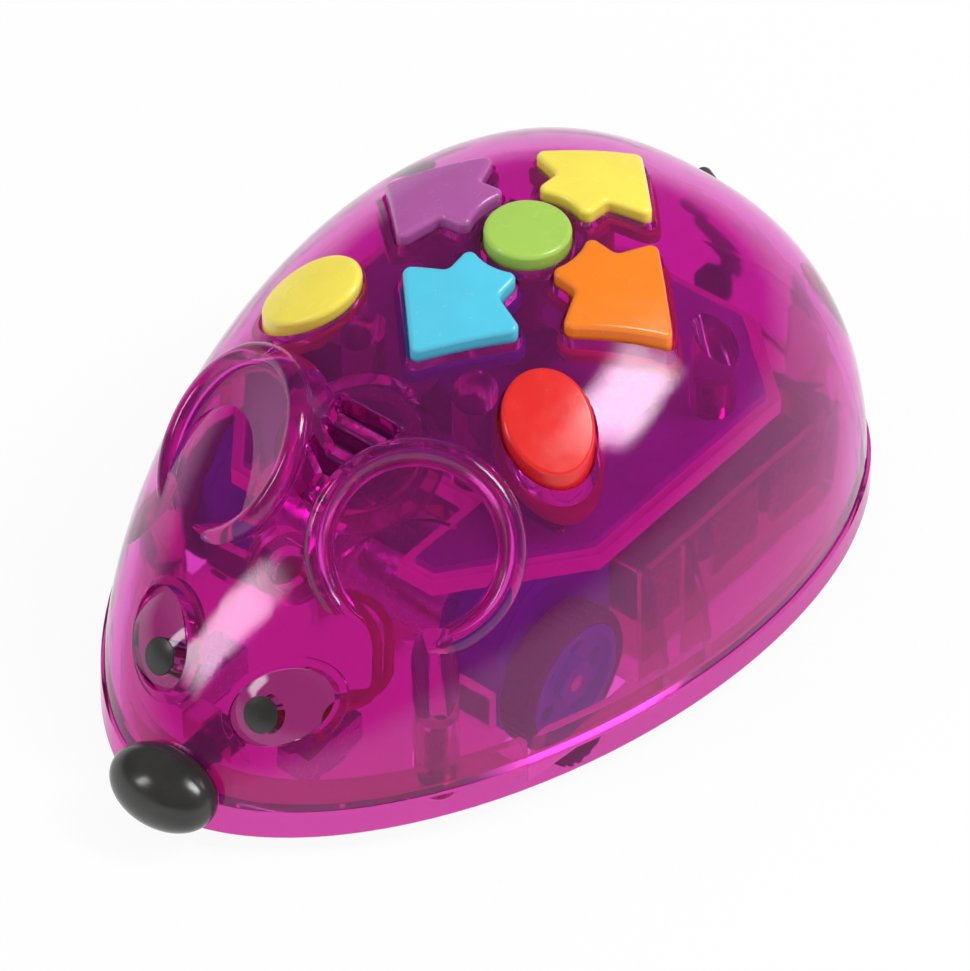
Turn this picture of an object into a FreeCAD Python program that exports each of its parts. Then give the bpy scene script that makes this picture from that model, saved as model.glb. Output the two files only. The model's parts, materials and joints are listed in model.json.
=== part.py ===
import FreeCAD, Part
import math
import os

V = FreeCAD.Vector
UP = V(0, 0, 1)

# Body: a see-through dome on a shallow base, nose towards -Y, floor at z = 0
BODY_LENGTH = 100.0
BODY_WIDTH = 69.4
BODY_HEIGHT = 40.2
RIDE_HEIGHT = 1.5
NOSE_REACH = 4.5
TAIL_REACH = 4.5
WALL = 1.8
SKIRT_HEIGHT = 4.0
SKIRT_LEDGE = 0.35
SKIRT_CHAMFER = 0.9
FLOOR_THICK = 1.8
LIP_HEIGHT = 2.0
LIP_THICK = 0.9
LIP_GAP = 0.4

# Shape of the body: powers of its plan, its ridge line and its cross-section
PLAN_FRONT = 0.551
PLAN_REAR = 0.363
RIDGE_FRONT = 0.658
RIDGE_REAR = 0.364
SECTION_POWER = 2.36
OUTLINE_POINTS = 32
SEAM_START = 12
LEVELS = 9
TOP_ANGLE = 87.0

# Clearances
SEAT_GAP = 0.1
RUN_GAP = 0.06
SIDE_GAP = 0.4

# Push buttons on the back
GO_FROM_FRONT = 61.9
GO_RADIUS = 4.8
BUTTON_TRAVEL = 1.2
BUTTON_RISE = 1.3
BUTTON_ROUND = 0.6
FLANGE_GAP = 0.3
FLANGE_THICK = 1.0
FLANGE_WIDTH = 0.8
GO_FLANGE_WIDTH = 0.6
STEM_RADIUS = 1.7
ARROW_START = 6.4
ARROW_SHAFT = 3.5
ARROW_NOTCH = 9.3
ARROW_BARB = 11.2
ARROW_HALF_SPAN = 8.4
ARROW_TIP = 20.0
ARROW_CORNER = 0.9
ARROW_STEM_OUT = 12.5
OVAL_SIDE = 16.3
OVAL_FROM_FRONT = 45.0
OVAL_LONG = 5.5
OVAL_SHORT = 4.95
OVAL_TURN = -30.0

# Ears, louvres and face
EAR_SIDE = 12.8
EAR_FROM_FRONT = 26.9
EAR_RADIUS = 11.85
EAR_TURN = 34.8
EAR_LIFT = 40.4
EAR_RIM_WIDTH = 2.6
EAR_RIM_RISE = 0.9
EAR_DISH = 0.5
EAR_DEPTH = 5.0
LOUVRE_FROM_FRONT = 35.0
LOUVRE_PITCH = 3.0
LOUVRE_COUNT = 3
LOUVRE_LENGTH = 8.0
LOUVRE_STEP = 1.2
LOUVRE_WIDTH = 1.3
LOUVRE_LIP = 0.55
EYE_SIDE = 8.5
EYE_FROM_FRONT = 9.4
EYE_LONG = 6.0
EYE_SHORT = 3.8
EYE_PROUD = 0.5
EYE_DEPTH = 3.0
EYE_CROWN = 11.0
EYE_AXIS = V(7.7, 7.0, 4.8)
EYE_COLLAR = 1.0
PUPIL_RADIUS = 2.0
PUPIL_AHEAD = 2.2
NOSE_HALF_WIDTH = 6.6
NOSE_HALF_HEIGHT = 4.4
NOSE_CENTRE_HEIGHT = 4.5
NOSE_STEM_RADIUS = 2.0
NOSE_STEM_LENGTH = 6.0

# Tail
TAIL_RADIUS = 1.5
TAIL_TIP_RADIUS = 1.0
TAIL_HEIGHT = 9.5
TAIL_ROOT = 4.0
TAIL_UPRIGHT = 7.2
TAIL_LEAN = 45.0
TAIL_FLANGE = 1.0

# Screws and posts
POST_RADIUS = 2.5
SCREW_RADIUS = 1.1
SCREW_HEAD_RADIUS = 2.0
SCREW_HEAD_HEIGHT = 1.2
SCREW_BITE = 8.0
SCREW_SLOT = 0.5
SCREW_SLOT_REACH = 1.2
BOARD_SCREW_BITE = 4.0
FRONT_POST_SIDE = 19.0
FRONT_POST_FROM_FRONT = 22.4
REAR_POST_SIDE = 18.0
REAR_POST_FROM_REAR = 10.5
BOARD_POST_INNER_SIDE = 7.6
BOARD_POST_INNER_FROM_FRONT = 43.5
BOARD_POST_OUTER_SIDE = 20.4
BOARD_POST_OUTER_FROM_FRONT = 68.1

# Board, its tray and what stands on it
TRAY_HEIGHT = 21.3
TRAY_THICK = 1.2
TRAY_RIM = 1.0
TRAY_RIM_WIDTH = 1.0
TRAY_HALF_WIDTH = 24.9
TRAY_NOSE_HALF_WIDTH = 13.8
TRAY_TAIL_HALF_WIDTH = 15.0
TRAY_FRONT = 28.4
TRAY_SHOULDER = 42.8
TRAY_HIP = 74.0
TRAY_REAR = 83.0
TRAY_NOTCH_HALF_WIDTH = 9.2
TRAY_NOTCH_REAR = 41.0
BOARD_THICK = 1.6
TACT_SIZE = 6.0
TACT_HEIGHT = 2.5
TACT_PLUNGER = 1.0
TACT_PLUNGER_RADIUS = 1.6
CHIP_LENGTH = 10.0
CHIP_WIDTH = 8.0
CHIP_HEIGHT = 1.8
CHIP_FROM_FRONT = 74.5
CHIP_SIDE = 12.5

# Speaker and forehead lamp
SPEAKER_FROM_FRONT = 32.0
SPEAKER_RADIUS = 7.0
SPEAKER_DEPTH = 4.0
SPEAKER_DROP = 1.2
SPEAKER_MAGNET_RADIUS = 4.0
SPEAKER_RIM = 1.4
CUP_WALL = 1.2
LED_FROM_FRONT = 19.0
LED_RADIUS = 2.5
LED_LENGTH = 4.0
LED_RIM = 0.5
LED_DROP = 0.4

# Drive: one geared motor for each wheel
AXLE_FROM_FRONT = 38.0
WHEEL_RADIUS = 8.5
WHEEL_GAP = 0.4
WHEEL_WIDTH = 4.0
TYRE_THICK = 1.5
TYRE_ROUND = 0.6
WHEEL_WEB = 1.8
HUB_RADIUS = 2.6
SPOKE_HOLES = 5
SPOKE_HOLE_RADIUS = 1.1
SPOKE_HOLE_OUT = 4.4
AXLE_RADIUS = 1.0
MODULE = 0.4
PINION_TEETH = 10
COMPOUND_TEETH = 24
WHEEL_GEAR_TEETH = 22
PRESSURE_ANGLE = 20.0
ADDENDUM = 0.9
DEDENDUM = 1.25
BACKLASH = 0.12
COMPOUND_ANGLE = 45.0
MOTOR_ANGLE = 165.0
GEARBOX_START = 13.6
GEARBOX_WALL = 1.2
GEAR_SPACE = 0.5
GEAR_WIDTH = 1.9
STAGE_GAP = 0.4
MOTOR_RADIUS = 6.0
MOTOR_FLAT = 5.0
MOTOR_LENGTH = 11.8
MOTOR_SHAFT_RADIUS = 0.75
MOTOR_NECK_RADIUS = 2.0
CRADLE_THICK = 1.2
CRADLE_INSET = 2.95
SLOT_GAP = 0.7
GEARBOX_CORNER = 2.0

# Cells, their bay and its door
CELL_RADIUS = 5.25
CELL_LENGTH = 44.5
CELL_NUB_RADIUS = 1.9
CELL_NUB_LENGTH = 0.9
CELL_PITCH = 10.9
CELL_COUNT = 3
CONTACT_THICK = 0.5
CONTACT_WIDTH = 8.0
CONTACT_HEIGHT = 8.0
CONTACT_BULGE = 1.3
BAY_WALL = 1.2
BAY_ROOF = 1.2
DOOR_THICK = 1.0
DOOR_LEDGE = 1.5
DOOR_GAP = 0.25
DOOR_TAB_RADIUS = 4.0

# Slide switches and skid under the base
SWITCH_SIDE = 8.0
SWITCH_FROM_FRONT = 16.5
SWITCH_LENGTH = 9.0
SWITCH_WIDTH = 4.4
SWITCH_HEIGHT = 3.8
SWITCH_TRAVEL = 3.0
KNOB_LENGTH = 3.0
KNOB_WIDTH = 2.0
KNOB_CLEAR = 0.6
SKID_FROM_REAR = 8.0
SKID_RADIUS = 4.0
SKID_FOOT_RADIUS = 2.6
SKID_STEM_RADIUS = 2.0
GUSSET_FROM_FRONT = 46.3
GUSSET_PITCH = 6.2
GUSSET_COUNT = 2
GUSSET_DEPTH = 3.2
GUSSET_HEIGHT = 12.3
GUSSET_TOP = 0.8
GUSSET_THICK = 1.0

# Leads from the lamp to its switch
LEAD_RADIUS = 0.55
LEAD_SPACING = 2.0
LEAD_DROP = 4.0
LEAD_OUT = 8.0
LEAD_BACK = 4.5
LEAD_SWING = 5.0
LEAD_ARC_SHARE = 0.45

# Worked out from the sizes above
FRONT_Y = NOSE_REACH - (BODY_LENGTH + NOSE_REACH + TAIL_REACH) / 2
REAR_Y = FRONT_Y + BODY_LENGTH
SEAM_Z = RIDE_HEIGHT + SKIRT_HEIGHT
FLOOR_Z = RIDE_HEIGHT + FLOOR_THICK
LIP_TOP = SKIRT_HEIGHT + LIP_HEIGHT
SKY = BODY_HEIGHT * 2
GO_Y = FRONT_Y + GO_FROM_FRONT
TRAY_TOP = TRAY_HEIGHT + TRAY_THICK
BOARD_TOP = TRAY_TOP + BOARD_THICK
STEM_END = BOARD_TOP + TACT_HEIGHT + TACT_PLUNGER + BUTTON_TRAVEL + SEAT_GAP


# Helpers
def along(length, degrees):
    angle = math.radians(degrees)
    return V(0, length * math.cos(angle), length * math.sin(angle))


def box(low, high):
    size = high - low
    return Part.makeBox(size.x, size.y, size.z, low)


def rod(radius, start, end):
    span = end - start
    return Part.makeCylinder(radius, span.Length, start, span)


def mirrored(shape):
    return shape.mirror(V(0, 0, 0), V(1, 0, 0))


def both_sides(shape):
    return [shape, mirrored(shape)]


def spin_profile(corners):
    """Solid of revolution about Z from corners given as (radius, height)."""
    points = [V(radius, 0, height) for radius, height in corners]
    face = Part.Face(Part.makePolygon(points + points[:1]))
    return face.revolve(V(0, 0, 0), UP, 360)


def placed(shape, origin, normal, across=None):
    """Put a shape that was made about Z at an origin, with Z along the normal."""
    across = across or V(1, 0, 0)
    side = normal.cross(across)
    turn = FreeCAD.Rotation(across, side, normal, "ZXY")
    copy = shape.copy()
    copy.Placement = FreeCAD.Placement(origin, turn)
    return copy


def rounded_outline(corners, radius):
    """Closed face from corners, each rounded by an arc tangent to its two sides."""
    edges = []
    count = len(corners)
    ends = []
    for index, corner in enumerate(corners):
        back = (corners[index - 1] - corner).normalize()
        ahead = (corners[(index + 1) % count] - corner).normalize()
        half = back.getAngle(ahead) / 2
        reach = radius / math.tan(half)
        middle = (back + ahead).normalize()
        depth = radius / math.sin(half) - radius
        start = corner + back * reach
        end = corner + ahead * reach
        edges.append(Part.Arc(start, corner + middle * depth, end).toShape())
        ends.append((start, end))
    for index in range(count):
        edges.append(Part.LineSegment(ends[index - 1][1], ends[index][0]).toShape())
    return Part.Face(Part.Wire(Part.__sortEdges__(edges)))


# Body form
def hump(share, front, rear):
    """Smooth curve from 0 at both ends to 1 at its peak."""
    peak = front / (front + rear)
    return (share / peak) ** front * ((1 - share) / (1 - peak)) ** rear


def share_at(y, grow):
    return (y - FRONT_Y + grow) / (BODY_LENGTH + 2 * grow)


def half_width(y, grow):
    return (BODY_WIDTH / 2 + grow) * hump(share_at(y, grow), PLAN_FRONT, PLAN_REAR)


def ridge(y, grow):
    return (BODY_HEIGHT + grow) * hump(share_at(y, grow), RIDGE_FRONT, RIDGE_REAR)


def skin_z(x, y, grow=0.0):
    """Height of the dome over the floor at a place in plan."""
    rise = 1 - (abs(x) / half_width(y, grow)) ** SECTION_POWER
    return RIDE_HEIGHT + ridge(y, grow) * rise ** (1 / SECTION_POWER)


def wall_x(y, height, grow):
    """Half-width of the dome at a height over its base edge."""
    rise = max(0.0, 1 - (height / ridge(y, grow)) ** SECTION_POWER)
    return half_width(y, grow) * rise ** (1 / SECTION_POWER)


def skin_normal(x, y):
    step = 0.05
    slope_x = (skin_z(x + step, y) - skin_z(x - step, y)) / (2 * step)
    slope_y = (skin_z(x, y + step) - skin_z(x, y - step)) / (2 * step)
    return V(-slope_x, -slope_y, 1).normalize()


def ridge_end(height, grow, start, peak):
    """Y where the ridge line passes a height, between an end and the peak."""
    low = start
    high = peak
    for _ in range(50):
        middle = (low + high) / 2
        if ridge(middle, grow) < height:
            low = middle
        else:
            high = middle
    return (low + high) / 2


def level_outline(height, grow, z):
    """Outline of the dome at a height over its base edge, as one smooth closed wire."""
    peak_share = RIDGE_FRONT / (RIDGE_FRONT + RIDGE_REAR)
    peak = FRONT_Y - grow + peak_share * (BODY_LENGTH + 2 * grow)
    front = ridge_end(height, grow, FRONT_Y - grow, peak)
    rear = ridge_end(height, grow, REAR_Y + grow, peak)
    points = []
    for index in range(SEAM_START, SEAM_START + OUTLINE_POINTS):
        angle = 2 * math.pi * index / OUTLINE_POINTS
        y = (front + rear) / 2 - (rear - front) / 2 * math.cos(angle)
        x = 0.0
        if index % (OUTLINE_POINTS // 2):
            x = math.copysign(wall_x(y, height, grow), math.sin(angle))
        points.append(V(x, y, z))
    curve = Part.BSplineCurve()
    curve.interpolate(points, PeriodicFlag=True)
    return Part.Wire(curve.toShape())


def dome(grow, start):
    """Solid under the body's skin, grown or shrunk, from a height over its base edge."""
    top = BODY_HEIGHT + grow
    first = math.asin((start / top) ** (SECTION_POWER / 2))
    last = math.radians(TOP_ANGLE)
    wires = []
    for index in range(LEVELS):
        angle = first + (last - first) * index / (LEVELS - 1)
        height = top * math.sin(angle) ** (2 / SECTION_POWER)
        wires.append(level_outline(height, grow, RIDE_HEIGHT + height))
    return Part.makeLoft(wires, True, False)


def skirt(grow, bottom, top):
    """Straight-sided slice of the body between two heights over its base edge."""
    low = level_outline(bottom, grow, RIDE_HEIGHT + bottom)
    high = level_outline(top, grow, RIDE_HEIGHT + top)
    return Part.makeLoft([low, high], True, True)


LOWEST = SKIRT_HEIGHT - 1
SKIN = dome(0, SKIRT_HEIGHT)
CAVITY = dome(-WALL, LOWEST)
POST_LIMIT = dome(-WALL / 2, LOWEST)
FLANGE_UNDER = dome(-WALL - FLANGE_GAP - FLANGE_THICK, LOWEST)
FLANGE_LAYER = dome(-WALL - FLANGE_GAP, LOWEST).cut(FLANGE_UNDER)
CAP_LAYER = dome(BUTTON_RISE, LOWEST).cut(FLANGE_UNDER)


# Button places and outlines in plan
GO_PLACE = V(0, GO_Y, 0)
FORWARD_PLACE = V(0, GO_Y - ARROW_STEM_OUT, 0)
BACK_PLACE = V(0, GO_Y + ARROW_STEM_OUT, 0)
TURN_PLACE = V(ARROW_STEM_OUT, GO_Y, 0)
OVAL_PLACE = V(OVAL_SIDE, FRONT_Y + OVAL_FROM_FRONT, 0)


def go_face(grow):
    return Part.Face(Part.Wire(Part.makeCircle(GO_RADIUS + grow, GO_PLACE)))


def arrow_face(direction, grow):
    """Arrow that points away from the go button, with a hollow tail end round it."""
    side = V(-direction.y, direction.x, 0)
    half = [
        (ARROW_START - ARROW_CORNER * 2, ARROW_SHAFT),
        (ARROW_NOTCH, ARROW_SHAFT),
        (ARROW_BARB, ARROW_HALF_SPAN),
    ]
    centre = GO_PLACE
    corners = [centre + direction * out + side * across for out, across in half]
    corners.append(centre + direction * ARROW_TIP)
    corners += [centre + direction * out - side * across for out, across in reversed(half)]
    hollow = Part.Face(Part.Wire(Part.makeCircle(ARROW_START, centre)))
    face = rounded_outline(corners, ARROW_CORNER).cut(hollow).Faces[0]
    return face.makeOffset2D(-ARROW_CORNER).makeOffset2D(ARROW_CORNER + grow)


def oval_face(grow):
    turn = math.radians(OVAL_TURN)
    long_end = OVAL_PLACE + V(math.cos(turn), math.sin(turn), 0) * (OVAL_LONG + grow)
    short_end = OVAL_PLACE + V(-math.sin(turn), math.cos(turn), 0) * (OVAL_SHORT + grow)
    return Part.Face(Part.Wire(Part.Ellipse(long_end, short_end, OVAL_PLACE).toShape()))


def forward_face(grow):
    return arrow_face(V(0, -1, 0), grow)


def back_face(grow):
    return arrow_face(V(0, 1, 0), grow)


def turn_face(grow):
    return arrow_face(V(1, 0, 0), grow)


def button_faces(grow):
    middle = [go_face(grow), forward_face(grow), back_face(grow)]
    return middle + both_sides(turn_face(grow)) + both_sides(oval_face(grow))


def faces_up(face):
    first_u, last_u, first_v, last_v = face.ParameterRange
    return face.normalAt((first_u + last_u) / 2, (first_v + last_v) / 2).z > 0.5


def rim_edges(solid):
    """Edges where the top of a solid meets its sides."""
    edges = []
    for edge in solid.Edges:
        upward = [face for face in solid.ancestorsOfType(edge, Part.Face) if faces_up(face)]
        if len(upward) == 1:
            edges.append(edge)
    return edges


def button(flange_face, place, cap):
    """Cap with rounded edges, a flange that keeps it in and a stem to its switch."""
    cap = cap.makeFillet(BUTTON_ROUND, rim_edges(cap))
    flange = flange_face.extrude(UP * SKY).common(FLANGE_LAYER)
    stem_top = skin_z(place.x, place.y, -WALL - FLANGE_GAP)
    stem = rod(STEM_RADIUS, place + UP * STEM_END, place + UP * stem_top)
    return cap.fuse([flange, stem]).removeSplitter()


def shaped_button(outline, place):
    """Button whose top follows the dome, with no flange on the go button's side."""
    go_space = go_face(ARROW_START + FLANGE_GAP - GO_RADIUS)
    flange_face = outline(FLANGE_WIDTH).cut(go_space)
    return button(flange_face, place, outline(0).extrude(UP * SKY).common(CAP_LAYER))


def go_button():
    """Round button with a level top at the crown of the back."""
    top = skin_z(0, GO_Y) + BUTTON_RISE
    cap = rod(GO_RADIUS, GO_PLACE + UP * SEAM_Z, GO_PLACE + UP * top).cut(FLANGE_UNDER)
    return button(go_face(GO_FLANGE_WIDTH), GO_PLACE, cap)


def tact_switch(place):
    low = place + UP * BOARD_TOP
    half = V(TACT_SIZE / 2, TACT_SIZE / 2, 0)
    case = box(low - half, low + half + UP * TACT_HEIGHT)
    plunger_start = low + UP * TACT_HEIGHT
    return case.fuse(rod(TACT_PLUNGER_RADIUS, plunger_start, plunger_start + UP * TACT_PLUNGER))


def tact_switches():
    middle = [tact_switch(place) for place in (GO_PLACE, FORWARD_PLACE, BACK_PLACE)]
    return middle + both_sides(tact_switch(TURN_PLACE)) + both_sides(tact_switch(OVAL_PLACE))


# Ears and louvres
def ear_normal():
    turn = math.radians(EAR_TURN)
    lift = math.radians(EAR_LIFT)
    return V(math.sin(turn) * math.cos(lift), -math.cos(turn) * math.cos(lift), math.sin(lift))


def ear_disc(inset):
    """Round dished disc with a rolled rim; inset gives the hollow under it."""
    rim = EAR_RIM_WIDTH / 2
    outer = EAR_RADIUS - inset
    top = EAR_RIM_RISE - inset
    inner = EAR_RADIUS - EAR_RIM_WIDTH
    low = EAR_RIM_RISE - rim - inset
    profile = [
        Part.LineSegment(V(0, 0, -EAR_DEPTH), V(outer, 0, -EAR_DEPTH)),
        Part.LineSegment(V(outer, 0, -EAR_DEPTH), V(outer, 0, low)),
        Part.Arc(V(outer, 0, low), V(inner + rim, 0, top), V(inner, 0, low)),
        Part.LineSegment(V(inner, 0, low), V(0, 0, low - EAR_DISH)),
        Part.LineSegment(V(0, 0, low - EAR_DISH), V(0, 0, -EAR_DEPTH)),
    ]
    face = Part.Face(Part.Wire([edge.toShape() for edge in profile]))
    disc = face.revolve(V(0, 0, 0), UP, 360)
    y = FRONT_Y + EAR_FROM_FRONT
    return placed(disc, V(EAR_SIDE, y, skin_z(EAR_SIDE, y)), ear_normal(), ear_normal().cross(UP))


def louvres(cut):
    """Sound slots between the ears, each with a raised lip along its rear edge."""
    pieces = []
    for index in range(LOUVRE_COUNT):
        y = FRONT_Y + LOUVRE_FROM_FRONT - index * LOUVRE_PITCH
        half = LOUVRE_LENGTH / 2 - index * LOUVRE_STEP / 2
        z = skin_z(0, y)
        if cut:
            low = V(-half, y - LOUVRE_WIDTH, z - 3 * WALL)
            pieces.append(box(low, V(half, y, z + 3 * WALL)))
        else:
            left = V(-half, y + LOUVRE_LIP / 2, skin_z(half, y))
            right = V(half, left.y, left.z)
            lip = rod(LOUVRE_LIP, left, right)
            ends = [Part.makeSphere(LOUVRE_LIP, end) for end in (left, right)]
            pieces.append(lip.fuse(ends))
    return pieces


# Face
def eye_frame():
    y = FRONT_Y + EYE_FROM_FRONT
    normal = skin_normal(EYE_SIDE, y)
    across = (EYE_AXIS - normal * EYE_AXIS.dot(normal)).normalize()
    return V(EYE_SIDE, y, skin_z(EYE_SIDE, y)), normal, across


def eye_prism(grow, low, high):
    ellipse = Part.Ellipse(V(0, 0, low), EYE_LONG + grow, EYE_SHORT + grow)
    solid = Part.Face(Part.Wire(ellipse.toShape())).extrude(UP * (high - low))
    origin, normal, across = eye_frame()
    return placed(solid, origin, normal, across)


def eye_crown(rise):
    origin, normal, across = eye_frame()
    return Part.makeSphere(EYE_CROWN, origin + normal * (EYE_PROUD + rise - EYE_CROWN))


def pupil_rod(grow, low):
    origin, normal, across = eye_frame()
    centre = origin - across * PUPIL_AHEAD
    return rod(PUPIL_RADIUS + grow, centre + normal * low, centre + normal * (EYE_DEPTH + EYE_PROUD))


def eye_lens():
    lens = eye_prism(0, -EYE_DEPTH, EYE_DEPTH).common(eye_crown(0))
    return lens.cut(pupil_rod(SEAT_GAP / 2, -EYE_DEPTH * 2))


def pupil():
    return pupil_rod(0, -EYE_DEPTH).common(eye_crown(SEAT_GAP))


def nose_ball(grow):
    ball = Part.makeSphere(1.0)
    stretch = FreeCAD.Matrix()
    stretch.scale(NOSE_HALF_WIDTH + grow, NOSE_REACH + grow, NOSE_HALF_HEIGHT + grow)
    ball = ball.transformGeometry(stretch)
    ball.translate(V(0, FRONT_Y, RIDE_HEIGHT + NOSE_CENTRE_HEIGHT))
    return ball


def nose_stem(grow):
    start = V(0, FRONT_Y, RIDE_HEIGHT + NOSE_CENTRE_HEIGHT)
    return rod(NOSE_STEM_RADIUS + grow, start, start + V(0, NOSE_REACH + NOSE_STEM_LENGTH, 0))


# Tail
def tail():
    """Rubber tail: out through the back wall, round an upward bend, then up to a tapered tip."""
    lean = math.radians(TAIL_LEAN)
    rise = V(-math.sin(lean), 0, math.cos(lean))
    bend = TAIL_REACH - TAIL_RADIUS + SEAT_GAP
    start = V(0, REAR_Y - TAIL_ROOT, RIDE_HEIGHT + TAIL_HEIGHT)
    corner = V(0, REAR_Y - SEAT_GAP, start.z)
    root = rod(TAIL_RADIUS, start, corner)
    ring = Part.Face(Part.Wire(Part.makeCircle(TAIL_RADIUS, corner, V(0, 1, 0))))
    elbow = ring.revolve(corner + rise * bend, V(0, 1, 0).cross(rise), 90)
    foot = corner + V(0, bend, 0) + rise * bend
    upright = Part.makeCone(TAIL_RADIUS, TAIL_TIP_RADIUS, TAIL_UPRIGHT, foot, rise)
    tip = Part.makeSphere(TAIL_TIP_RADIUS, foot + rise * TAIL_UPRIGHT)
    inside = V(0, REAR_Y - WALL - SIDE_GAP - TAIL_FLANGE, start.z)
    flange = rod(TAIL_RADIUS + TAIL_FLANGE, inside - V(0, TAIL_FLANGE, 0), inside)
    return root.fuse([elbow, upright, tip, flange]).removeSplitter()


def tail_hole():
    start = V(0, REAR_Y - 2 * TAIL_ROOT, RIDE_HEIGHT + TAIL_HEIGHT)
    return rod(TAIL_RADIUS + SEAT_GAP, start, start + V(0, 4 * TAIL_ROOT, 0))


# Screws, posts and sockets
def screw(tip, bite):
    """Pan-head screw that points up, its head below the point where it starts to bite."""
    head = Part.makeCylinder(SCREW_HEAD_RADIUS, SCREW_HEAD_HEIGHT, tip - UP * SCREW_HEAD_HEIGHT)
    shank = rod(SCREW_RADIUS, tip, tip + UP * bite)
    reach = SCREW_SLOT_REACH
    floor = tip - UP * (SCREW_HEAD_HEIGHT / 2)
    half = SCREW_SLOT / 2
    slots = [
        box(floor + V(-reach, -half, -SCREW_HEAD_HEIGHT), floor + V(reach, half, 0)),
        box(floor + V(-half, -reach, -SCREW_HEAD_HEIGHT), floor + V(half, reach, 0)),
    ]
    return head.fuse(shank).cut(slots)


def case_post_places():
    front = V(FRONT_POST_SIDE, FRONT_Y + FRONT_POST_FROM_FRONT, 0)
    rear = V(REAR_POST_SIDE, REAR_Y - REAR_POST_FROM_REAR, 0)
    return [V(side * place.x, place.y, 0) for place in (front, rear) for side in (1, -1)]


def board_post_places():
    inner = V(BOARD_POST_INNER_SIDE, FRONT_Y + BOARD_POST_INNER_FROM_FRONT, 0)
    outer = V(BOARD_POST_OUTER_SIDE, FRONT_Y + BOARD_POST_OUTER_FROM_FRONT, 0)
    return [V(side * place.x, place.y, 0) for place in (inner, outer) for side in (1, -1)]


def case_screws():
    start = RIDE_HEIGHT + SCREW_HEAD_HEIGHT + SEAT_GAP
    return [screw(place + UP * start, SCREW_BITE) for place in case_post_places()]


def board_screws():
    bite = TRAY_THICK + BOARD_THICK + BOARD_SCREW_BITE
    return [screw(place + UP * TRAY_HEIGHT, bite) for place in board_post_places()]


def speaker_frame():
    """Place and direction of the speaker, square to the skin under the louvres."""
    y = FRONT_Y + SPEAKER_FROM_FRONT
    normal = skin_normal(0, y)
    return V(0, y, skin_z(0, y)) - normal * (WALL + SPEAKER_DROP), normal


def led_frame():
    y = FRONT_Y + LED_FROM_FRONT
    normal = skin_normal(0, y)
    return V(0, y, skin_z(0, y)) - normal * (WALL + LED_DROP), normal


# Upper shell
def shell_fixtures():
    """Posts and collars moulded inside the dome."""
    pieces = []
    for place in case_post_places():
        pieces.append(rod(POST_RADIUS, place + UP * (FLOOR_Z + SEAT_GAP), place + UP * SKY))
    for place in board_post_places():
        pieces.append(rod(POST_RADIUS, place + UP * (BOARD_TOP + SEAT_GAP), place + UP * SKY))
    pieces += both_sides(eye_prism(SEAT_GAP + EYE_COLLAR, -EYE_DEPTH, EYE_DEPTH))
    centre, normal = speaker_frame()
    cup = SPEAKER_RADIUS + SEAT_GAP + CUP_WALL
    pieces.append(rod(cup, centre - normal * SPEAKER_DEPTH, centre + normal * SPEAKER_DEPTH))
    lamp, lamp_normal = led_frame()
    socket = LED_RADIUS + SEAT_GAP + CUP_WALL
    pieces.append(rod(socket, lamp - lamp_normal * LED_LENGTH, lamp + lamp_normal * LED_LENGTH))
    return pieces[0].fuse(pieces[1:]).common(POST_LIMIT)


def shell_cuts():
    """Everything that opens the dome or hollows a post or collar."""
    holes = [face.translated(UP * BOARD_TOP) for face in button_faces(SIDE_GAP)]
    cuts = [hole.extrude(UP * SKY) for hole in holes]
    cuts += both_sides(eye_prism(SEAT_GAP, -2 * EYE_DEPTH, 2 * EYE_DEPTH))
    cuts += louvres(True)
    cuts += [nose_ball(SEAT_GAP), nose_stem(SIDE_GAP), tail_hole()]
    for place in case_post_places():
        cuts.append(rod(SCREW_RADIUS + SEAT_GAP / 2, place, place + UP * (FLOOR_Z + SCREW_BITE)))
    for place in board_post_places():
        start = place + UP * TRAY_HEIGHT
        bite = TRAY_THICK + BOARD_THICK + BOARD_SCREW_BITE + SEAT_GAP
        cuts.append(rod(SCREW_RADIUS + SEAT_GAP / 2, start, start + UP * bite))
    centre, normal = speaker_frame()
    cuts.append(rod(SPEAKER_RADIUS + SEAT_GAP, centre - normal * 2 * SPEAKER_DEPTH, centre))
    cuts.append(rod(SPEAKER_RADIUS - SPEAKER_RIM, centre, centre + normal * SPEAKER_DROP))
    lamp, lamp_normal = led_frame()
    cuts.append(rod(LED_RADIUS + SEAT_GAP, lamp - lamp_normal * 2 * LED_LENGTH, lamp))
    return cuts


def upper_shell():
    outer = SKIN.fuse(both_sides(ear_disc(0)) + louvres(False))
    hollow = CAVITY.fuse(both_sides(ear_disc(WALL)))
    floor = box(V(-BODY_WIDTH, FRONT_Y * 2, -SKY), V(BODY_WIDTH, REAR_Y * 2, SEAM_Z + SEAT_GAP))
    shell = outer.cut([hollow, floor])
    shell = shell.fuse(shell_fixtures())
    return shell.cut(shell_cuts())


# Base
def gear_centres():
    """Axle, compound gear and motor shaft in the YZ plane, at the tooth ratios' distances."""
    axle = V(0, FRONT_Y + AXLE_FROM_FRONT, WHEEL_RADIUS)
    compound = axle + along(MODULE * (WHEEL_GEAR_TEETH + PINION_TEETH) / 2, COMPOUND_ANGLE)
    motor = compound + along(MODULE * (COMPOUND_TEETH + PINION_TEETH) / 2, MOTOR_ANGLE)
    return axle, compound, motor


def tip_radius(teeth):
    return MODULE * (teeth / 2 + ADDENDUM)


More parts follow.
